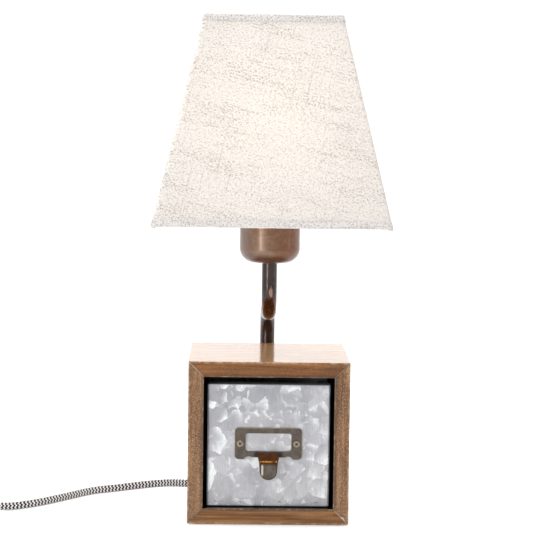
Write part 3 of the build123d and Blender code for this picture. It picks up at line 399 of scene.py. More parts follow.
# -------------------------------------------------------- bronze and lacquer
def pull_bronze():
    t = Tree("aged_bronze")
    v = t.obj()
    x, y, z = t.xyz()
    big = t.noise(v, 190.0, 4.0, 0.6)
    fine = t.noise(v, 1500.0, 3.0, 0.65)
    c = t.mix(t.step(big, 0.35, 0.65), (0.090, 0.073, 0.058), (0.132, 0.112, 0.093))
    c = t.mix(t.step(fine, 0.52, 0.75, 0.0, 0.4), c, (0.22, 0.185, 0.15))
    # the slope above the tongue's bend is painted a warm brown, partly worn brass and partly a painted reflection of
    # the warm wood above it; the bright bend line is a painted highlight on worn brass
    tongue = t.step(y, -0.0590, -0.0602)
    slope_reflection_and_wear = t.mul(tongue, t.step(z, 0.0500, 0.0520))
    c = t.mix(slope_reflection_and_wear, c, t.mix(t.step(big, 0.4, 0.6), (0.120, 0.036, 0.008), (0.185, 0.062, 0.012)))
    bn = t.noise(t.map(v, (900.0, 200.0, 200.0)), 1.0, 3.0, 0.6)
    bend = t.mul(t.step(t.math("ABSOLUTE", t.sub(z, 0.0529)), 0.00065, 0.00030), t.step(y, -0.0690, -0.0698))
    bend = t.mul(t.mul(bend, t.step(bn, 0.36, 0.56)), t.step(t.math("ABSOLUTE", x), 0.0074, 0.0066))
    c = t.mix(bend, c, (0.90, 0.42, 0.07))
    # the tongue's lower part: a painted highlight down its left side, and painted shade along its rounded rim
    ax0 = t.math("ABSOLUTE", x)
    lowpart = t.mul(tongue, t.step(z, 0.0524, 0.0510))
    dx = t.mul(x, x)
    dz = t.math("MINIMUM", t.sub(z, 0.0450), 0.0)
    rr = t.math("SQRT", t.add(dx, t.mul(dz, dz)))
    rim = t.mul(t.step(rr, 0.0056, 0.0066), lowpart)
    c = t.mix(t.mul(rim, 0.75), c, (0.040, 0.028, 0.020))
    left_highlight = t.mul(t.mul(t.step(t.math("ABSOLUTE", t.add(x, 0.0049)), 0.0011, 0.0003), lowpart),
                   t.mul(t.step(z, 0.0515, 0.0490), t.step(z, 0.0405, 0.0435)))
    c = t.mix(t.mul(left_highlight, 0.75), c, (0.78, 0.70, 0.58))
    # painted shadow at each side of the tongue's top, where the plate curves out into it
    flank_shadow = t.mul(t.mul(t.step(ax0, 0.0074, 0.0086), t.step(ax0, 0.0128, 0.0102)),
                  t.mul(t.step(z, 0.0505, 0.0530), t.step(z, 0.0600, 0.0570)))
    c = t.mix(t.mul(flank_shadow, 0.8), c, (0.022, 0.017, 0.013))
    # rubbed edges of the plate
    ax = t.math("ABSOLUTE", x)
    edge = t.math("MINIMUM", t.sub(0.0272, ax), t.sub(0.0781, z))
    plate = t.step(y, -0.0588, -0.0580)
    c = t.mix(t.mul(t.mul(t.step(edge, 0.0007, 0.0002), plate), 0.55), c, (0.42, 0.33, 0.21))
    n = t.bump(t.add(t.mul(fine, 0.5), t.mul(big, 0.6)), 0.00006, 0.5)
    s = t.shader(Base_Color=c, Metallic=0.72, Roughness=t.lin(fine, 0.3, 0.7, 0.30, 0.44), Normal=n)
    return t.out(s)


def cup_finish():
    t = Tree("rubbed_bronze")
    v = t.obj()
    x, y, z = t.xyz()
    big = t.noise(v, 70.0, 4.0, 0.6)
    mid = t.noise(t.map(v, (1, 1, 1.6), loc=(2, 5, 1)), 180.0, 4.0, 0.62)
    fine = t.noise(v, 1400.0, 3.0, 0.65)
    c = t.mix(t.step(big, 0.36, 0.62), (0.180, 0.092, 0.052), (0.230, 0.146, 0.104))
    c = t.mix(t.step(mid, 0.46, 0.66, 0.0, 0.60), c, (0.275, 0.180, 0.108))
    # painted light: the right side is painted darker and more orange and the left side greyer, for the light and shade
    # that fall on them
    right = t.step(x, -0.004, 0.018)
    c = t.mix(t.mul(right, t.step(mid, 0.30, 0.60, 0.50, 0.92)), c, (0.150, 0.050, 0.020))
    left = t.step(x, -0.006, -0.020)
    c = t.mix(t.mul(left, 0.65), c, (0.175, 0.122, 0.098))
    # painted shade: the cup is painted darker towards its bottom
    low = t.step(z, 0.2175, 0.2095)
    c = t.mix(t.mul(low, 0.85), c, (0.085, 0.040, 0.030))
    c = t.mix(t.step(fine, 0.64, 0.76, 0.0, 0.5), c, (0.55, 0.42, 0.30))
    rim = t.step(z, 0.2405, 0.2425)
    c = t.mix(t.mul(rim, 0.6), c, (0.11, 0.045, 0.022))
    n = t.bump(t.add(t.mul(fine, 0.35), t.mul(mid, 0.6)), 0.00007, 0.5)
    s = t.shader(Base_Color=c, Metallic=0.40, Roughness=t.lin(mid, 0.3, 0.7, 0.30, 0.40), Normal=n,
                 Coat_Weight=0.75, Coat_Roughness=0.22, Coat_IOR=1.36, Specular_IOR_Level=0.20)
    return t.out(s)


def stem_lacquer():
    t = Tree("dark_bronze_lacquer")
    v = t.obj()
    big = t.noise(v, 60.0, 4.0, 0.6)
    fine = t.noise(v, 1300.0, 3.0, 0.65)
    c = t.mix(t.step(big, 0.38, 0.62), (0.030, 0.018, 0.015), (0.052, 0.034, 0.030))
    c = t.mix(t.step(t.noise(v, 300.0, 4.0, 0.6), 0.60, 0.74, 0.0, 0.35), c, (0.15, 0.09, 0.065))
    x, y, z = t.xyz()
    # the lower bend is painted a reddish brown, a painted reflection of the case's wooden top below it, with a pale
    # pinkish patch above it
    elbow_reflection = t.mul(t.step(z, 0.1815, 0.1720), t.mul(t.step(z, 0.1545, 0.1575), t.step(y, 0.024, 0.008)))
    c = t.mix(t.mul(elbow_reflection, 0.85), c, (0.074, 0.019, 0.007))
    bx, bz = t.mul(t.sub(x, 0.0014), 1.9), t.sub(z, 0.1835)
    pink_patch = t.math("SQRT", t.add(t.mul(bx, bx), t.mul(t.mul(bz, bz), 0.42)))
    pink_patch = t.add(pink_patch, t.mul(t.sub(t.noise(v, 520.0, 4.0, 0.65), 0.5), 0.0052))
    pink_patch = t.add(pink_patch, t.mul(t.math("ABSOLUTE", t.sub(x, t.mul(bz, -0.25))), 0.3))
    c = t.mix(t.mul(t.mul(t.step(pink_patch, 0.0040, 0.0024), t.step(y, 0.004, -0.002)), 0.8), c, (0.36, 0.20, 0.15))
    n = t.bump(t.add(t.mul(fine, 0.3), t.mul(big, 0.5)), 0.00005, 0.4)
    s = t.shader(Base_Color=c, Metallic=0.82, Roughness=t.lin(fine, 0.3, 0.7, 0.25, 0.33), Normal=n,
                 Coat_Weight=0.75, Coat_Roughness=0.15, Coat_IOR=1.43, Specular_IOR_Level=0.18)
    return t.out(s)


def screw_finish(name, col, rough):
    t = Tree(name)
    v = t.obj()
    x, y, z = t.xyz()
    c = wear(t, col, tuple(c * 0.45 for c in col), 900.0, 0.52, 0.66)
    fine = t.noise(v, 2600.0, 3.0, 0.6)
    return t.out(t.shader(Base_Color=c, Metallic=0.9, Roughness=t.lin(fine, 0.3, 0.7, rough - 0.06, rough + 0.08),
                          Normal=t.bump(fine, 0.00003, 0.4)))


def pull_screw():
    t = Tree("pull_screw_heads")
    v = t.obj()
    x, y, z = t.xyz()
    dx = t.sub(t.math("ABSOLUTE", x), 0.0228)
    dz = t.sub(z, 0.0654)
    r = t.math("SQRT", t.add(t.mul(dx, dx), t.mul(dz, dz)))
    fine = t.noise(v, 1700.0, 3.0, 0.6)
    c = t.mix(t.step(fine, 0.35, 0.7), (0.20, 0.165, 0.13), (0.34, 0.29, 0.23))
    c = t.mix(t.mul(t.step(r, 0.00205, 0.00250), 0.9), c, (0.70, 0.50, 0.27))
    c = t.mix(t.mul(t.step(r, 0.00262, 0.00275), 0.8), c, (0.10, 0.07, 0.04))
    # the cross recess is painted near-black as painted shade, and a painted glint runs along its arms
    ca, sa = cos(radians(40)), sin(radians(40))
    u = t.math("ABSOLUTE", t.add(t.mul(dx, ca), t.mul(dz, sa)))
    w = t.math("ABSOLUTE", t.sub(t.mul(dz, ca), t.mul(dx, sa)))
    cross = t.math("MAXIMUM", t.step(u, 0.00052, 0.00034), t.step(w, 0.00052, 0.00034))
    cross = t.mul(cross, t.step(r, 0.00170, 0.00150))
    glint = t.math("MAXIMUM", t.step(u, 0.00080, 0.00060), t.step(w, 0.00080, 0.00060))
    glint = t.mul(t.mul(glint, t.step(r, 0.00185, 0.00165)), t.step(fine, 0.40, 0.55))
    c = t.mix(t.mul(glint, 0.8), c, (0.92, 0.88, 0.82))
    c = t.mix(cross, c, (0.006, 0.005, 0.005))
    n = t.bump(t.sub(fine, t.mul(cross, 3.0)), 0.00005, 0.5)
    return t.out(t.shader(Base_Color=c, Metallic=0.75, Roughness=t.lin(fine, 0.3, 0.7, 0.26, 0.40), Normal=n))


# ------------------------------------------------------------------- fabric
def linen(name, dense=0.0):
    """Linen weave. The attribute 'weave' holds metres along the weft and the warp."""
    t = Tree(name)
    w = t.attr("weave")
    wx, wy, wz = t.xyz(w)
    pitch = 0.00128 if not dense else 0.00112
    wob = t.noise(w, 150.0, 2.0, 0.5, out="Color")
    wobx, woby, _ = t.node("ShaderNodeSeparateColor", {0: wob}).outputs[0:3]
    ux = t.mul(t.add(wx, t.mul(t.sub(wobx, 0.5), 0.0018)), 1.0 / pitch)
    uy = t.mul(t.add(wy, t.mul(t.sub(woby, 0.5), 0.0018)), 1.0 / pitch)
    warp = t.math("ABSOLUTE", t.math("SINE", t.mul(ux, pi)))
    weft = t.math("ABSOLUTE", t.math("SINE", t.mul(uy, pi)))
    over = t.math("FLOORED_MODULO", t.add(t.math("FLOOR", ux), t.math("FLOOR", uy)), 2.0)
    hole = t.mul(t.sub(1.0, t.mul(warp, 0.9)), t.sub(1.0, t.mul(weft, 0.9)))
    yarn = t.add(t.mul(over, warp), t.mul(t.sub(1.0, over), weft))
    # each thread has its own tone, and slubs run along it
    weft_id = t.math("FLOOR", uy)
    warp_id = t.math("FLOOR", ux)
    tone_w = t.noise(t.vec(t.mul(wx, 70.0), t.mul(weft_id, 7.31), 0.0), 1.0, 2.0, 0.6)
    tone_v = t.noise(t.vec(t.mul(warp_id, 5.17), t.mul(wy, 26.0), 4.0), 1.0, 2.0, 0.6)
    slub_w = t.noise(t.map(w, (48.0, 560.0, 1.0)), 1.0, 4.0, 0.66)
    slub_v = t.noise(t.map(w, (560.0, 9.0, 1.0), loc=(3, 8, 0)), 1.0, 2.0, 0.6)
    fleck = t.noise(t.map(w, (640.0, 760.0, 1.0), loc=(7, 1, 0)), 1.0, 2.0, 0.6)
    nub = t.noise(t.map(w, (560.0, 620.0, 1.0), loc=(3, 3, 0)), 1.0, 2.0, 0.6)
    rare = t.noise(t.map(w, (520.0, 700.0, 1.0), loc=(2, 9, 0)), 1.0, 2.0, 0.6)
    cloud = t.noise(t.map(w, (16.0, 92.0, 1.0), loc=(1, 4, 0)), 1.0, 4.0, 0.62)
    drift = t.noise(t.map(w, (9.0, 30.0, 1.0), loc=(6, 2, 0)), 1.0, 3.0, 0.6)
    pale = (0.925, 0.912, 0.895)
    warm = (0.905, 0.880, 0.850)
    grey = (0.440, 0.375, 0.365)
    brown = (0.300, 0.185, 0.130)
    busy = t.math("ADD", t.step(cloud, 0.47, 0.61, 0.04, 0.85), t.step(drift, 0.45, 0.65, 0.0, 0.25), clamp=True)
    c = t.mix(t.step(tone_w, 0.35, 0.65), warm, pale)
    c = t.mix(t.step(tone_v, 0.52, 0.76, 0.0, 0.16), c, (0.60, 0.54, 0.52))
    c = t.mix(t.mul(t.step(slub_w, 0.48, 0.66, 0.0, 0.46), busy), c, grey)
    c = t.mix(t.step(slub_v, 0.62, 0.70, 0.0, 0.42), c, grey)
    c = t.mix(t.mul(t.step(fleck, 0.485, 0.61), t.add(t.mul(busy, 0.42), 0.40)), c, (0.375, 0.305, 0.285))
    c = t.mix(t.step(nub, 0.54, 0.66, 0.0, 0.65), c, (0.955, 0.940, 0.915))
    c = t.mix(t.step(rare, 0.70, 0.76, 0.0, 0.75), c, brown)
    c = t.mix(t.mul(hole, 0.38), c, (0.42, 0.36, 0.335))
    c = t.mix(t.mul(t.step(yarn, 0.72, 0.95), t.step(tone_w, 0.45, 0.7, 0.1, 0.5)), c, (0.93, 0.90, 0.86))
    if dense:
        # painted shade: the hem's cloth is painted greyer, as less light comes through the doubled cloth
        c = t.mix(0.10 * dense, c, (0.44, 0.355, 0.340))
        c = t.mix(t.step(fleck, 0.50, 0.62, 0.0, 0.22 * dense), c, (0.30, 0.275, 0.275))
    height = t.add(t.mul(yarn, 0.7), t.mul(slub_w, 0.8))
    n = t.bump(height, 0.00022, 0.55)
    front = t.node("ShaderNodeBsdfDiffuse", {"Color": c, "Roughness": 0.6, "Normal": n}).outputs[0]
    back_c = t.mix(t.mul(t.step(slub_w, 0.48, 0.70, 0.0, 0.6), busy), (1.0, 0.94, 0.86), (0.64, 0.50, 0.42))
    back_c = t.mix(t.step(fleck, 0.52, 0.66, 0.0, 0.5), back_c, (0.50, 0.36, 0.26))
    back = t.node("ShaderNodeBsdfTranslucent", {"Color": back_c, "Normal": n}).outputs[0]
    s = t.node("ShaderNodeMixShader", {0: 0.16 if not dense else 0.05, 1: front, 2: back}).outputs[0]
    return t.out(s)


def liner_film():
    t = Tree("styrene_liner")
    v = t.obj()
    f = t.noise(v, 220.0, 3.0, 0.5)
    c = t.mix(t.step(f, 0.3, 0.7), (0.86, 0.83, 0.77), (0.92, 0.90, 0.86))
    film = t.shader(Base_Color=c, Roughness=t.lin(f, 0.3, 0.7, 0.35, 0.5), Normal=t.bump(f, 0.00005, 0.3))
    clear = t.node("ShaderNodeBsdfTransparent").outputs[0]
    return t.out(t.node("ShaderNodeMixShader", {0: 0.62, 1: film, 2: clear}).outputs[0])


def felt(name, col):
    t = Tree(name)
    v = t.obj()
    a = t.noise(v, 900.0, 5.0, 0.75, 0.8)
    b = t.noise(v, 90.0, 3.0, 0.6)
    c = t.mix(t.step(a, 0.35, 0.7), tuple(x * 0.6 for x in col), tuple(x * 2.0 for x in col))
    c = t.mix(t.step(b, 0.4, 0.7, 0.0, 0.3), c, tuple(x * 2.4 for x in col))
    return t.out(t.shader(Base_Color=c, Roughness=0.95, Normal=t.bump(a, 0.0003, 0.9), Sheen_Weight=0.35,
                          Specular_IOR_Level=0.2))


def braid():
    """Round textile sleeve. 'braid' holds the repeats along the cord and the zigzag's place."""
    t = Tree("braided_sleeve")
    turns, zig, arm = t.xyz(t.attr("braid"))
    phase = t.add(turns, t.mul(zig, BRAID_SHIFT))
    saw = t.math("FRACT", phase)
    black = t.mul(t.step(saw, 0.38, 0.43), t.sub(1.0, t.step(saw, 0.95, 1.0)))
    yarn = t.math("ABSOLUTE", t.math("SINE", t.mul(phase, pi * 6.0)))
    fuzz = t.noise(t.obj(), 2600.0, 3.0, 0.7)
    white_c = t.mix(t.step(fuzz, 0.35, 0.7), (0.80, 0.78, 0.78), (0.93, 0.92, 0.92))
    black_c = t.mix(t.step(fuzz, 0.40, 0.8), (0.010, 0.009, 0.010), (0.045, 0.038, 0.042))
    c = t.mix(black, white_c, black_c)
    c = t.mix(t.mul(t.step(yarn, 0.35, 0.05), 0.25), c, (0.10, 0.09, 0.09))
    h = t.add(t.mul(yarn, 0.6), t.mul(fuzz, 0.5))
    return t.out(t.shader(Base_Color=c, Roughness=0.85, Normal=t.bump(h, 0.00012, 0.7), Sheen_Weight=0.25,
                          Specular_IOR_Level=0.25))


def strap():
    t = Tree("tie_webbing")
    v = t.obj()
    x, y, z = t.xyz()
    rib = t.math("ABSOLUTE", t.math("SINE", t.mul(t.add(t.add(x, y), z), pi / 0.0007)))
    f = t.noise(v, 1500.0, 3.0, 0.7)
    c = t.mix(rib, (0.006, 0.006, 0.007), (0.035, 0.035, 0.038))
    c = t.mix(t.step(f, 0.5, 0.8, 0.0, 0.3), c, (0.09, 0.09, 0.09))
    return t.out(t.shader(Base_Color=c, Roughness=0.85, Normal=t.bump(t.add(rib, f), 0.00012, 0.8), Sheen_Weight=0.3))


def clear_glass():
    t = Tree("bulb_glass")
    v = t.obj()
    f = t.noise(v, 40.0, 2.0, 0.5)
    gloss = t.node("ShaderNodeBsdfGlossy", {"Color": (1, 1, 1, 1), "Roughness": 0.04,
                                            "Normal": t.bump(f, 0.0004, 0.15)}).outputs[0]
    milk = t.shader(Base_Color=t.mix(t.step(f, 0.3, 0.7), (0.93, 0.90, 0.84), (0.97, 0.95, 0.91)), Roughness=0.2)
    clear = t.node("ShaderNodeBsdfTransparent", {"Color": (0.985, 0.98, 0.965, 1)}).outputs[0]
    body = t.node("ShaderNodeMixShader", {0: 0.06, 1: clear, 2: milk}).outputs[0]
    fr = t.node("ShaderNodeFresnel", {"IOR": 1.46}).outputs[0]
    return t.out(t.node("ShaderNodeMixShader", {0: t.mul(fr, 0.8), 1: body, 2: gloss}).outputs[0])


# ------------------------------------------------------------ mesh helpers
def mesh_object(name, verts, faces, smooth=True, attrs=None):
    me = bpy.data.meshes.new(name)
    me.from_pydata([tuple(v) for v in verts], [], faces)
    me.update()
    for key, values in (attrs or {}).items():
        a = me.attributes.new(key, "FLOAT_VECTOR", "POINT")
        flat = []
        for q in values:
            flat.extend(q)
        a.data.foreach_set("vector", flat)
    me.polygons.foreach_set("use_smooth", [smooth] * len(me.polygons))
    ob = bpy.data.objects.new(name, me)
    SCENE.collection.objects.link(ob)
    return ob


def paint(obj, mat):
    obj.data.materials.clear()
    obj.data.materials.append(mat)


# --------------------------------------------------------------------- cord
CORD_D = 6.4
STEM_Y = 71.55
BRAID_PITCH = 0.00282
BRAID_SHIFT = 0.42
BRAID_ARMS = 14
ROUTE_FREE = [
    (0.0, STEM_Y, 50.0), (0.0, STEM_Y, 31.5), (-9.0, 76.2, 14.5), (-26.5, 84.0, 4.6),
    (-47.5, 93.5, 3.3), (-64.0, 98.6, 3.2), (-86.0, 102.0, 3.2), (-108.0, 90.0, 3.2),
    (-130.0, 73.0, 3.2), (-151.0, 60.5, 3.2), (-170.5, 31.5, 3.2), (-192.0, 3.0, 3.2),
    (-216.0, -17.0, 3.3), (-236.0, -25.7, 8.0), (-256.0, -34.3, 8.0),
]
ROUTE_MID = [
    (-305.61, -55.63, 8.0), (-323.06, -63.14, 7.4), (-350.5, -58.5, 3.4), (-368.5, -32.0, 3.2),
    (-373.0, 2.0, 3.3), (-370.4, 35.0, 3.6), (-368.4, 64.0, 3.7),
]
ROUTE_TAIL = [(-285.6, 66.0, 7.0), (-285.6, 50.0, 7.0)]
COIL = (-327.0, 79.0)
TURN_POINTS = 16


def coil_points():
    """5.5 turns, clockwise from above: in along the bottom layer, out along the top one."""

    def smooth(a, b, t):
        t = min(max((t - a) / (b - a), 0.0), 1.0)
        return t * t * (3 - 2 * t)

    out = []
    grow = 2.0 / (1.0 + cos(tau / TURN_POINTS) * 0.5 + 0.5)
    n = int(5.5 * TURN_POINTS)
    for i in range(1, n + 1):
        q = i / TURN_POINTS
        r = 41.4 - 6.4 * smooth(0.75, 1.0, q) - 6.4 * smooth(1.75, 2.0, q)
        r += 6.4 * smooth(3.45, 3.7, q) + 6.4 * smooth(4.45, 4.7, q)
        climb = smooth(2.43, 2.70, q)
        r -= 2.0 * sin(pi * climb) if 0 < climb < 1 else 0.0
        z = 3.7 + 6.4 * climb
        wob = 0.25 * sin(q * 9.1) + 0.2 * sin(q * 23.7)
        z -= 3.1 * smooth(5.22, 5.5, q)
        a = pi - tau * q
        rr = (r + wob) * grow
        out.append((COIL[0] + rr * cos(a), COIL[1] + rr * sin(a), z + 0.12 * sin(q * 11.0)))
    return out


def spline_points(points, resolution):
    """The points of the route's NURBS spline, read from a curve with no bevel."""
    cu = bpy.data.curves.new("route", "CURVE")
    cu.dimensions = "3D"
    cu.resolution_u = resolution
    sp = cu.splines.new("NURBS")
    sp.points.add(len(points) - 1)
    for p, q in zip(sp.points, points):
        p.co = (q[0] * MM, q[1] * MM, q[2] * MM, 1.0)
    sp.order_u = 3
    sp.use_endpoint_u = True
    ob = bpy.data.objects.new("route", cu)
    SCENE.collection.objects.link(ob)
    bpy.context.view_layer.update()
    me = bpy.data.meshes.new_from_object(ob)
    co = [v.co.copy() for v in me.vertices]
    bpy.data.meshes.remove(me)
    bpy.data.objects.remove(ob)
    bpy.data.curves.remove(cu)
    return co


def evenly(points, step):
    out, left = [points[0]], step
    for a, b in zip(points, points[1:]):
        d = (b - a).length
        while d > 1e-9 and left <= d:
            a = a + (b - a) * (left / d)
            out.append(a)
            d = (b - a).length
            left = step
        left -= d
    return out


def cord_tube(name, line, radius, around):
    """A braided round tube along a line, with its yarns raised."""
    verts, attrs, faces = [], [], []
    side = Vector((1, 0, 0))
    length = 0.0
    turns = 0.0
    arms = BRAID_ARMS
    for i, p in enumerate(line):
        a = line[max(i - 1, 0)]
        b = line[min(i + 1, len(line) - 1)]
        way = (b - a).normalized()
        side = (side - way * side.dot(way)).normalized()
        up = way.cross(side)
        if i:
            d = (p - line[i - 1]).length
            length += d
            # the sleeve is a little stretched where the lead is bent across the table
            slack = min(max((p.x + 0.285) / 0.03, 0.0), 1.0)
            pitch = min(max(BRAID_PITCH / max(abs(way.x), 0.5), BRAID_PITCH), 1.28 * BRAID_PITCH)
            turns += d / (pitch * slack + 1.08 * BRAID_PITCH * (1.0 - slack))
        for j in range(around):
            ang = tau * j / around
            arm = arms * j / around
            k = arm % 2.0
            zig = k if k <= 1.0 else 2.0 - k
            phase = turns + zig * BRAID_SHIFT
            lift = abs(sin(pi * phase * 2.0)) * 0.00010 - 0.00004
            ridge = abs((arm % 1.0) - 0.5) * 2.0
            lift += 0.00005 * (1.0 - ridge)
            r = radius + lift
            verts.append(p + side * (cos(ang) * r) + up * (sin(ang) * r))
            attrs.append((turns, zig, arm))
    n = len(line)
    for i in range(n - 1):
        for j in range(around):
            k = (j + 1) % around
            faces.append((i * around + j, i * around + k, (i + 1) * around + k, (i + 1) * around + j))
    faces.append(tuple(range(around - 1, -1, -1)))
    faces.append(tuple((n - 1) * around + j for j in range(around)))
    return mesh_object(name, verts, faces, True, {"braid": attrs}), length


def make_cord():
    route = ROUTE_FREE + [(-268.4, -39.63, 8.0), (-293.2, -50.30, 8.0)] + ROUTE_MID + coil_points() + ROUTE_TAIL
    line = evenly(spline_points(route, 20), 0.00047)
    ob, length = cord_tube("mains_cord", line, (CORD_D / 2 - 0.08) * MM, 2 * BRAID_ARMS)
    ob.data.materials.append(braid())
    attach(ob, "lamp")
    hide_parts("cord", "cord_mid", "cord_tail", "cord_coil")
    print("cord length", round(length, 4))
    return ob


make_cord()

# -------------------------------------------------------------------- shade
SHADE_B, SHADE_T, SHADE_Z0, SHADE_Z1 = 190.0, 111.0, 242.5, 408.5
RUN = (SHADE_B - SHADE_T) / 2 / (SHADE_Z1 - SHADE_Z0)
CORNER = 3.0
BETA = atan(RUN / sqrt(1 + RUN * RUN))


def half_at(z, out=0.0):
    return SHADE_B / 2 - RUN * (z - SHADE_Z0) + out


def on_panel(k, s, h):
    return [(s, -h), (h, s), (-s, h), (-h, -s)][k]


def around_square(h, r, per_side, flap=0.0):
    """Points round a square with rounded corners, from the front-left corner to the right and back to it.
    Each is (x, y, panel, place along the panel, outward x, outward y)."""
    out = []
    nrm = [(0, -1), (1, 0), (0, 1), (-1, 0)]
    for k in range(4):
        for i in range(per_side + 1):
            s = -(h - r) + 2 * (h - r) * i / per_side
            x, y = on_panel(k, s, h)
            out.append((x, y, k, s, *nrm[k]))
        if k < 3:
            for j in (1, 2, 3):
                a = pi / 2 * j / 4
                n0, n1 = nrm[k], nrm[k + 1]
                nx = n0[0] * cos(a) + n1[0] * sin(a)
                ny = n0[1] * cos(a) + n1[1] * sin(a)
                cx, cy = on_panel(k, h - r, h - r)
                s = (h - r) + r * sin(a) * 0.95
                kk, ss = (k, s) if j < 2.5 else (k + 1, -(h - r) - r * cos(a) * 0.95)
                out.append((cx + nx * r, cy + ny * r, kk, ss, nx, ny))
    # close round the front-left corner
    for j in (1, 2, 3, 4):
        a = pi / 2 * j / 4
        n0, n1 = nrm[3], nrm[0]
        nx = n0[0] * cos(a) + n1[0] * sin(a)
        ny = n0[1] * cos(a) + n1[1] * sin(a)
        cx, cy = on_panel(3, h - r, h - r)
        out.append((cx + nx * r, cy + ny * r, 3, (h - r) + r * sin(a), nx, ny))
    return out


def developed(k, s, h):
    """Where a point of the shade lies on the flat cut, with the warp along the front-left edge."""
    run = h * sqrt(1 + RUN * RUN) / RUN
    a = 2 * BETA * k
    x, y = s, -run
    x, y = x * cos(a) - y * sin(a), x * sin(a) + y * cos(a)
    return (x * cos(BETA) - y * sin(BETA), x * sin(BETA) + y * cos(BETA))


def ear(s, h, z):
    """How far the rim dips at a corner, in mm."""
    near = max(0.0, 1.0 - (h - abs(s)) / 14.0)
    low = max(0.0, 1.0 - (z - SHADE_Z0) / 16.0)
    high = max(0.0, 1.0 - (SHADE_Z1 - z) / 12.0)
    return -1.5 * near * near * low + 0.5 * near * near * high


def make_shade():
    rows, per_side = 108, 104
    verts, weave, faces = [], [], []
    z0, z1 = SHADE_Z0 + 0.1, SHADE_Z1 - 0.1
    cols = None
    for i in range(rows + 1):
        z = z0 + (z1 - z0) * i / rows
        h = half_at(z)
        ring = around_square(h, CORNER, per_side)
        # the seam: the cloth starts and ends at the front-left corner
        cols = len(ring)
        for (x, y, k, s, nx, ny) in ring:
            u, v = developed(k, s, h)
            d = noise.noise(Vector((u * 0.05, v * 0.45, 1.3))) * 0.10
            d += noise.noise(Vector((u * 0.30, v * 0.03, 7.7))) * 0.05
            d += noise.noise(Vector((u * 0.02, v * 0.02, 3.1))) * 0.22
            edge = max(0.0, min(1.0, (h - abs(s) - CORNER) / 8.0))
            pull = -0.25 * edge * sin(pi * (z - SHADE_Z0) / (SHADE_Z1 - SHADE_Z0))
            d = d * edge + pull
            zz = z + ear(s, h, z)
            verts.append(Vector(((x + nx * d) * MM, (y + ny * d) * MM, (zz + d * RUN) * MM)))
            weave.append((u * MM, v * MM, 0.0))
    for i in range(rows):
        for j in range(cols - 1):
            a = i * cols + j
            faces.append((a, a + 1, a + 1 + cols, a + cols))
    ob = mesh_object("shade_cover", verts, faces, True, {"weave": weave})
    ob.data.materials.append(linen("linen_weave"))
    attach(ob, "lamp")
    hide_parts("shade_fabric")
    return ob


def hem(name, node, z_ref, up):
    """A strip of the same cloth folded round the rim and the wire: its section is a hook."""
    prof = [(0.46, 5.0), (0.52, 3.8), (0.56, 2.4), (0.50, 0.8), (0.26, -0.22), (-0.30, -0.62), (-1.3, -0.80),
            (-2.6, -0.78), (-3.9, -0.30), (-4.75, 0.75), (-5.0, 2.2), (-4.9, 3.8), (-4.7, 5.2)]
    thick = 0.38
    skin = []
    for i, (o, z) in enumerate(prof):
        a = prof[max(i - 1, 0)]
        b = prof[min(i + 1, len(prof) - 1)]
        tx, tz = b[0] - a[0], b[1] - a[1]
        n = hypot(tx, tz)
        skin.append((o + tz / n * thick * 1.0, z - tx / n * thick * 1.0))
    # the inner side of the fold, so that the strip is closed
    loop = prof + skin[::-1]
    per_side = 96
    verts, weave, faces = [], [], []
    m = len(loop)
    path = [0.0]
    for a, b in zip(loop, loop[1:]):
        path.append(path[-1] + hypot(b[0] - a[0], b[1] - a[1]))
    cols = 0
    for li, (o, dz) in enumerate(loop):
        z = z_ref + (dz if up else -dz)
        ring = around_square(half_at(z_ref) + o - (RUN * dz if up else -RUN * dz), max(CORNER + o, 0.8), per_side)
        cols = len(ring)
        h = half_at(z_ref)
        for j, (x, y, k, s, nx, ny) in enumerate(ring):
            u = k * 2 * h + s
            d = noise.noise(Vector((u * 0.16, path[li] * 0.35, 5.0))) * 0.16
            d += noise.noise(Vector((u * 0.55, path[li] * 0.7, 9.0))) * 0.09
            zz = z + ear(s, h, z_ref) * 0.9 + d * 0.5
            verts.append(Vector(((x + nx * d) * MM, (y + ny * d) * MM, zz * MM)))
            weave.append((u * MM, path[li] * MM * (1 if up else -1) + 0.4, 0.0))
    for li in range(m):
        a0, b0 = li * cols, ((li + 1) % m) * cols
        for j in range(cols - 1):
            q = (a0 + j, a0 + j + 1, b0 + j + 1, b0 + j)
            faces.append(q if not up else q[::-1])
    for j in (0, cols - 1):
        cap = tuple(li * cols + j for li in range(m))
        faces.append(cap if (j == 0) != up else cap[::-1])
    ob = mesh_object(name, verts, faces, True, {"weave": weave})
    ob.data.materials.append(HEM_LOW if up else HEM_HIGH)
    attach(ob, "lamp")
    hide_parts(node)
    return ob


HEM_LOW = linen("linen_hem", dense=0.60)
HEM_HIGH = linen("linen_hem_top_shaded", dense=1.0)
make_shade()
hem("shade_hem_low", "hem_bottom", SHADE_Z0, True)
hem("shade_hem_high", "hem_top", SHADE_Z1, False)

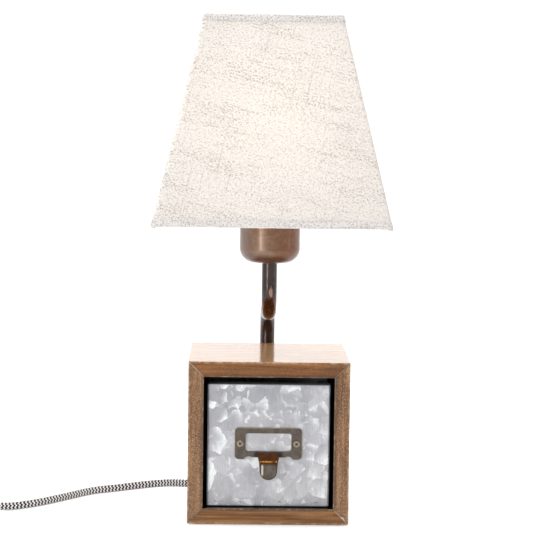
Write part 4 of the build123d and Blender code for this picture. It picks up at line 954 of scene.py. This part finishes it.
# ---------------------------------------------------------------- materials
MATS = {
    "wood_x": wood("stained_board_level", 0, 3.1),
    "wood_z": wood("stained_board_upright", 2, 8.4),
    "back": plain("back_panel_stain", (0.105, 0.050, 0.022), 0.6, mottle=0.14, scale=60.0),
    "steel": plain("zinc_plated_steel", (0.55, 0.56, 0.57), 0.32, 1.0, mottle=0.2, scale=400.0),
    "screw": screw_finish("dulled_nickel", (0.62, 0.53, 0.42), 0.28),
    "felt": felt("black_felt", (0.022, 0.022, 0.024)),
    "galv": galvanised(),
    "pull_screw": pull_screw(),
    "pull": pull_bronze(),
    "stem": stem_lacquer(),
    "cup": cup_finish(),
    "rubber": plain("black_rubber", (0.018, 0.018, 0.019), 0.62, mottle=0.25, scale=300.0, bump=0.00008),
    "bakelite": plain("black_bakelite", (0.014, 0.013, 0.013), 0.28, mottle=0.35, scale=90.0, coat=0.3),
    "ceramic": plain("porcelain", (0.80, 0.77, 0.70), 0.35, mottle=0.06, scale=200.0, coat=0.2),
    "brass": plain("contact_brass", (0.76, 0.55, 0.24), 0.28, 1.0, mottle=0.2, scale=260.0),
    "cap": plain("bulb_cap_metal", (0.72, 0.72, 0.73), 0.3, 1.0, mottle=0.18, scale=300.0),
    "glass": clear_glass(),
    "filament": emission("warm_filament", (1.0, 0.72, 0.36), 9.0),
    "liner": liner_film(),
    "wire": plain("white_powder_coat", (0.80, 0.78, 0.74), 0.45, mottle=0.08, scale=500.0, bump=0.00008),
    "plastic": plain("black_thermoplastic", (0.020, 0.020, 0.021), 0.46, mottle=0.3, scale=420.0, grain=2400.0,
                     bump=0.00009),
    "rocker": plain("rocker_plastic", (0.026, 0.026, 0.027), 0.34, mottle=0.25, scale=380.0, grain=2400.0,
                    bump=0.00005),
    "pins": plain("nickel_pins", (0.70, 0.68, 0.64), 0.22, 1.0, mottle=0.15, scale=500.0),
    "strap": strap(),
    "lead": plain("inner_lead_sleeve", (0.55, 0.54, 0.52), 0.7, mottle=0.4, scale=900.0, bump=0.0001),
}
WEAR = {
    "top_board": "wood_x", "bottom_board": "wood_x", "left_board": "wood_z", "right_board": "wood_z",
    "back_panel": "back", "panel_brads": "steel", "base_felt": "felt",
    "drawer_front": "galv", "drawer_tray": "galv", "drawer_glides": "felt",
    "label_pull": "pull", "pull_screws": "pull_screw", "pull_nuts": "steel",
    "stem_tube": "stem", "lower_saddle": "stem", "upper_saddle": "stem", "saddle_screws": "screw",
    "cord_relief": "rubber", "inner_lead": "lead", "socket_cup": "cup",
    "stem_nipple": "steel", "cup_washer": "steel", "nipple_nut": "steel",
    "holder_cap": "bakelite", "contact_block": "ceramic", "terminal_screws": "steel",
    "centre_contact": "brass", "holder_body": "bakelite", "screw_shell": "brass", "shade_ring": "bakelite",
    "bulb_cap": "cap", "bulb_glass": "glass", "bulb_mount": "glass", "bulb_filaments": "filament",
    "shade_liner": "liner", "shade_bottom_wire": "wire", "shade_top_wire": "wire", "shade_spider": "wire",
    "coil_tie": "strap", "switch_base": "plastic", "switch_cover": "plastic", "switch_rocker": "rocker",
    "switch_pin": "steel", "switch_screws": "screw", "plug_body": "plastic", "plug_pins": "pins",
}
for node, key in WEAR.items():
    paint(NODES[node], MATS[key])


# ------------------------------------------------------------- floor, light
def make_floor():
    t = Tree("pale_floor")
    f = t.noise(t.obj(), 3.0, 2.0, 0.5)
    c = t.mix(f, (0.84, 0.84, 0.84), (0.86, 0.86, 0.86))
    seen = t.node("ShaderNodeLightPath").outputs["Is Camera Ray"]
    glow = t.lin(seen, 0.0, 1.0, 0.18, 0.45)
    s = t.shader(Base_Color=c, Roughness=0.9, Specular_IOR_Level=0.0,
                 Emission_Color=(1.0, 1.0, 1.0, 1.0), Emission_Strength=glow)
    ob = mesh_object("floor", [Vector((-12, -12, 0)), Vector((12, -12, 0)), Vector((12, 12, 0)), Vector((-12, 12, 0))],
                     [(0, 1, 2, 3)], False)
    ob.data.materials.append(t.out(s))


def area(name, place, target, size, size_y, power, col=(1, 1, 1)):
    d = bpy.data.lights.new(name, "AREA")
    d.shape = "RECTANGLE"
    d.size, d.size_y, d.energy, d.color = size, size_y, power, col
    ob = bpy.data.objects.new(name, d)
    ob.location = place
    ob.rotation_euler = (Vector(target) - Vector(place)).to_track_quat("-Z", "Y").to_euler()
    SCENE.collection.objects.link(ob)
    return ob


def make_world():
    w = bpy.data.worlds.new("studio")
    w.use_nodes = True
    nt = w.node_tree
    nt.nodes.clear()
    out = nt.nodes.new("ShaderNodeOutputWorld")
    bg = nt.nodes.new("ShaderNodeBackground")
    tc = nt.nodes.new("ShaderNodeTexCoord")
    sep = nt.nodes.new("ShaderNodeSeparateXYZ")
    nt.links.new(tc.outputs["Generated"], sep.inputs[0])
    # a white sweep behind the object, a dimmer room on the camera's side
    back = nt.nodes.new("ShaderNodeMapRange")
    back.interpolation_type = "SMOOTHSTEP"
    back.inputs["From Min"].default_value = -0.35
    back.inputs["From Max"].default_value = 0.45
    back.inputs["To Min"].default_value = 0.20
    back.inputs["To Max"].default_value = 1.45
    nt.links.new(sep.outputs[1], back.inputs["Value"])
    lp = nt.nodes.new("ShaderNodeLightPath")
    mix = nt.nodes.new("ShaderNodeMix")
    mix.data_type = "FLOAT"
    nt.links.new(lp.outputs["Is Camera Ray"], mix.inputs[0])
    nt.links.new(back.outputs[0], mix.inputs[2])
    mix.inputs[3].default_value = 1.05
    bg.inputs["Color"].default_value = (1, 1, 1, 1)
    nt.links.new(mix.outputs[0], bg.inputs["Strength"])
    nt.links.new(bg.outputs[0], out.inputs["Surface"])
    SCENE.world = w


make_floor()
make_world()
area("key", (-0.94, -1.34, 0.55), (0, 0, 0.20), 0.17, 1.1, 11.0)
area("fill", (1.56, -0.34, 0.50), (0, 0, 0.20), 0.12, 1.1, 1.2)
area("top", (0.0, -0.10, 1.60), (0, 0, 0.10), 1.2, 0.9, 16.0)
bulb = bpy.data.lights.new("bulb_light", "POINT")
bulb.energy = 0.55
bulb.color = (1.0, 0.90, 0.77)
bulb.shadow_soft_size = 0.022
bulb_ob = bpy.data.objects.new("bulb_light", bulb)
bulb_ob.location = (0, 0, 0.312)
SCENE.collection.objects.link(bulb_ob)
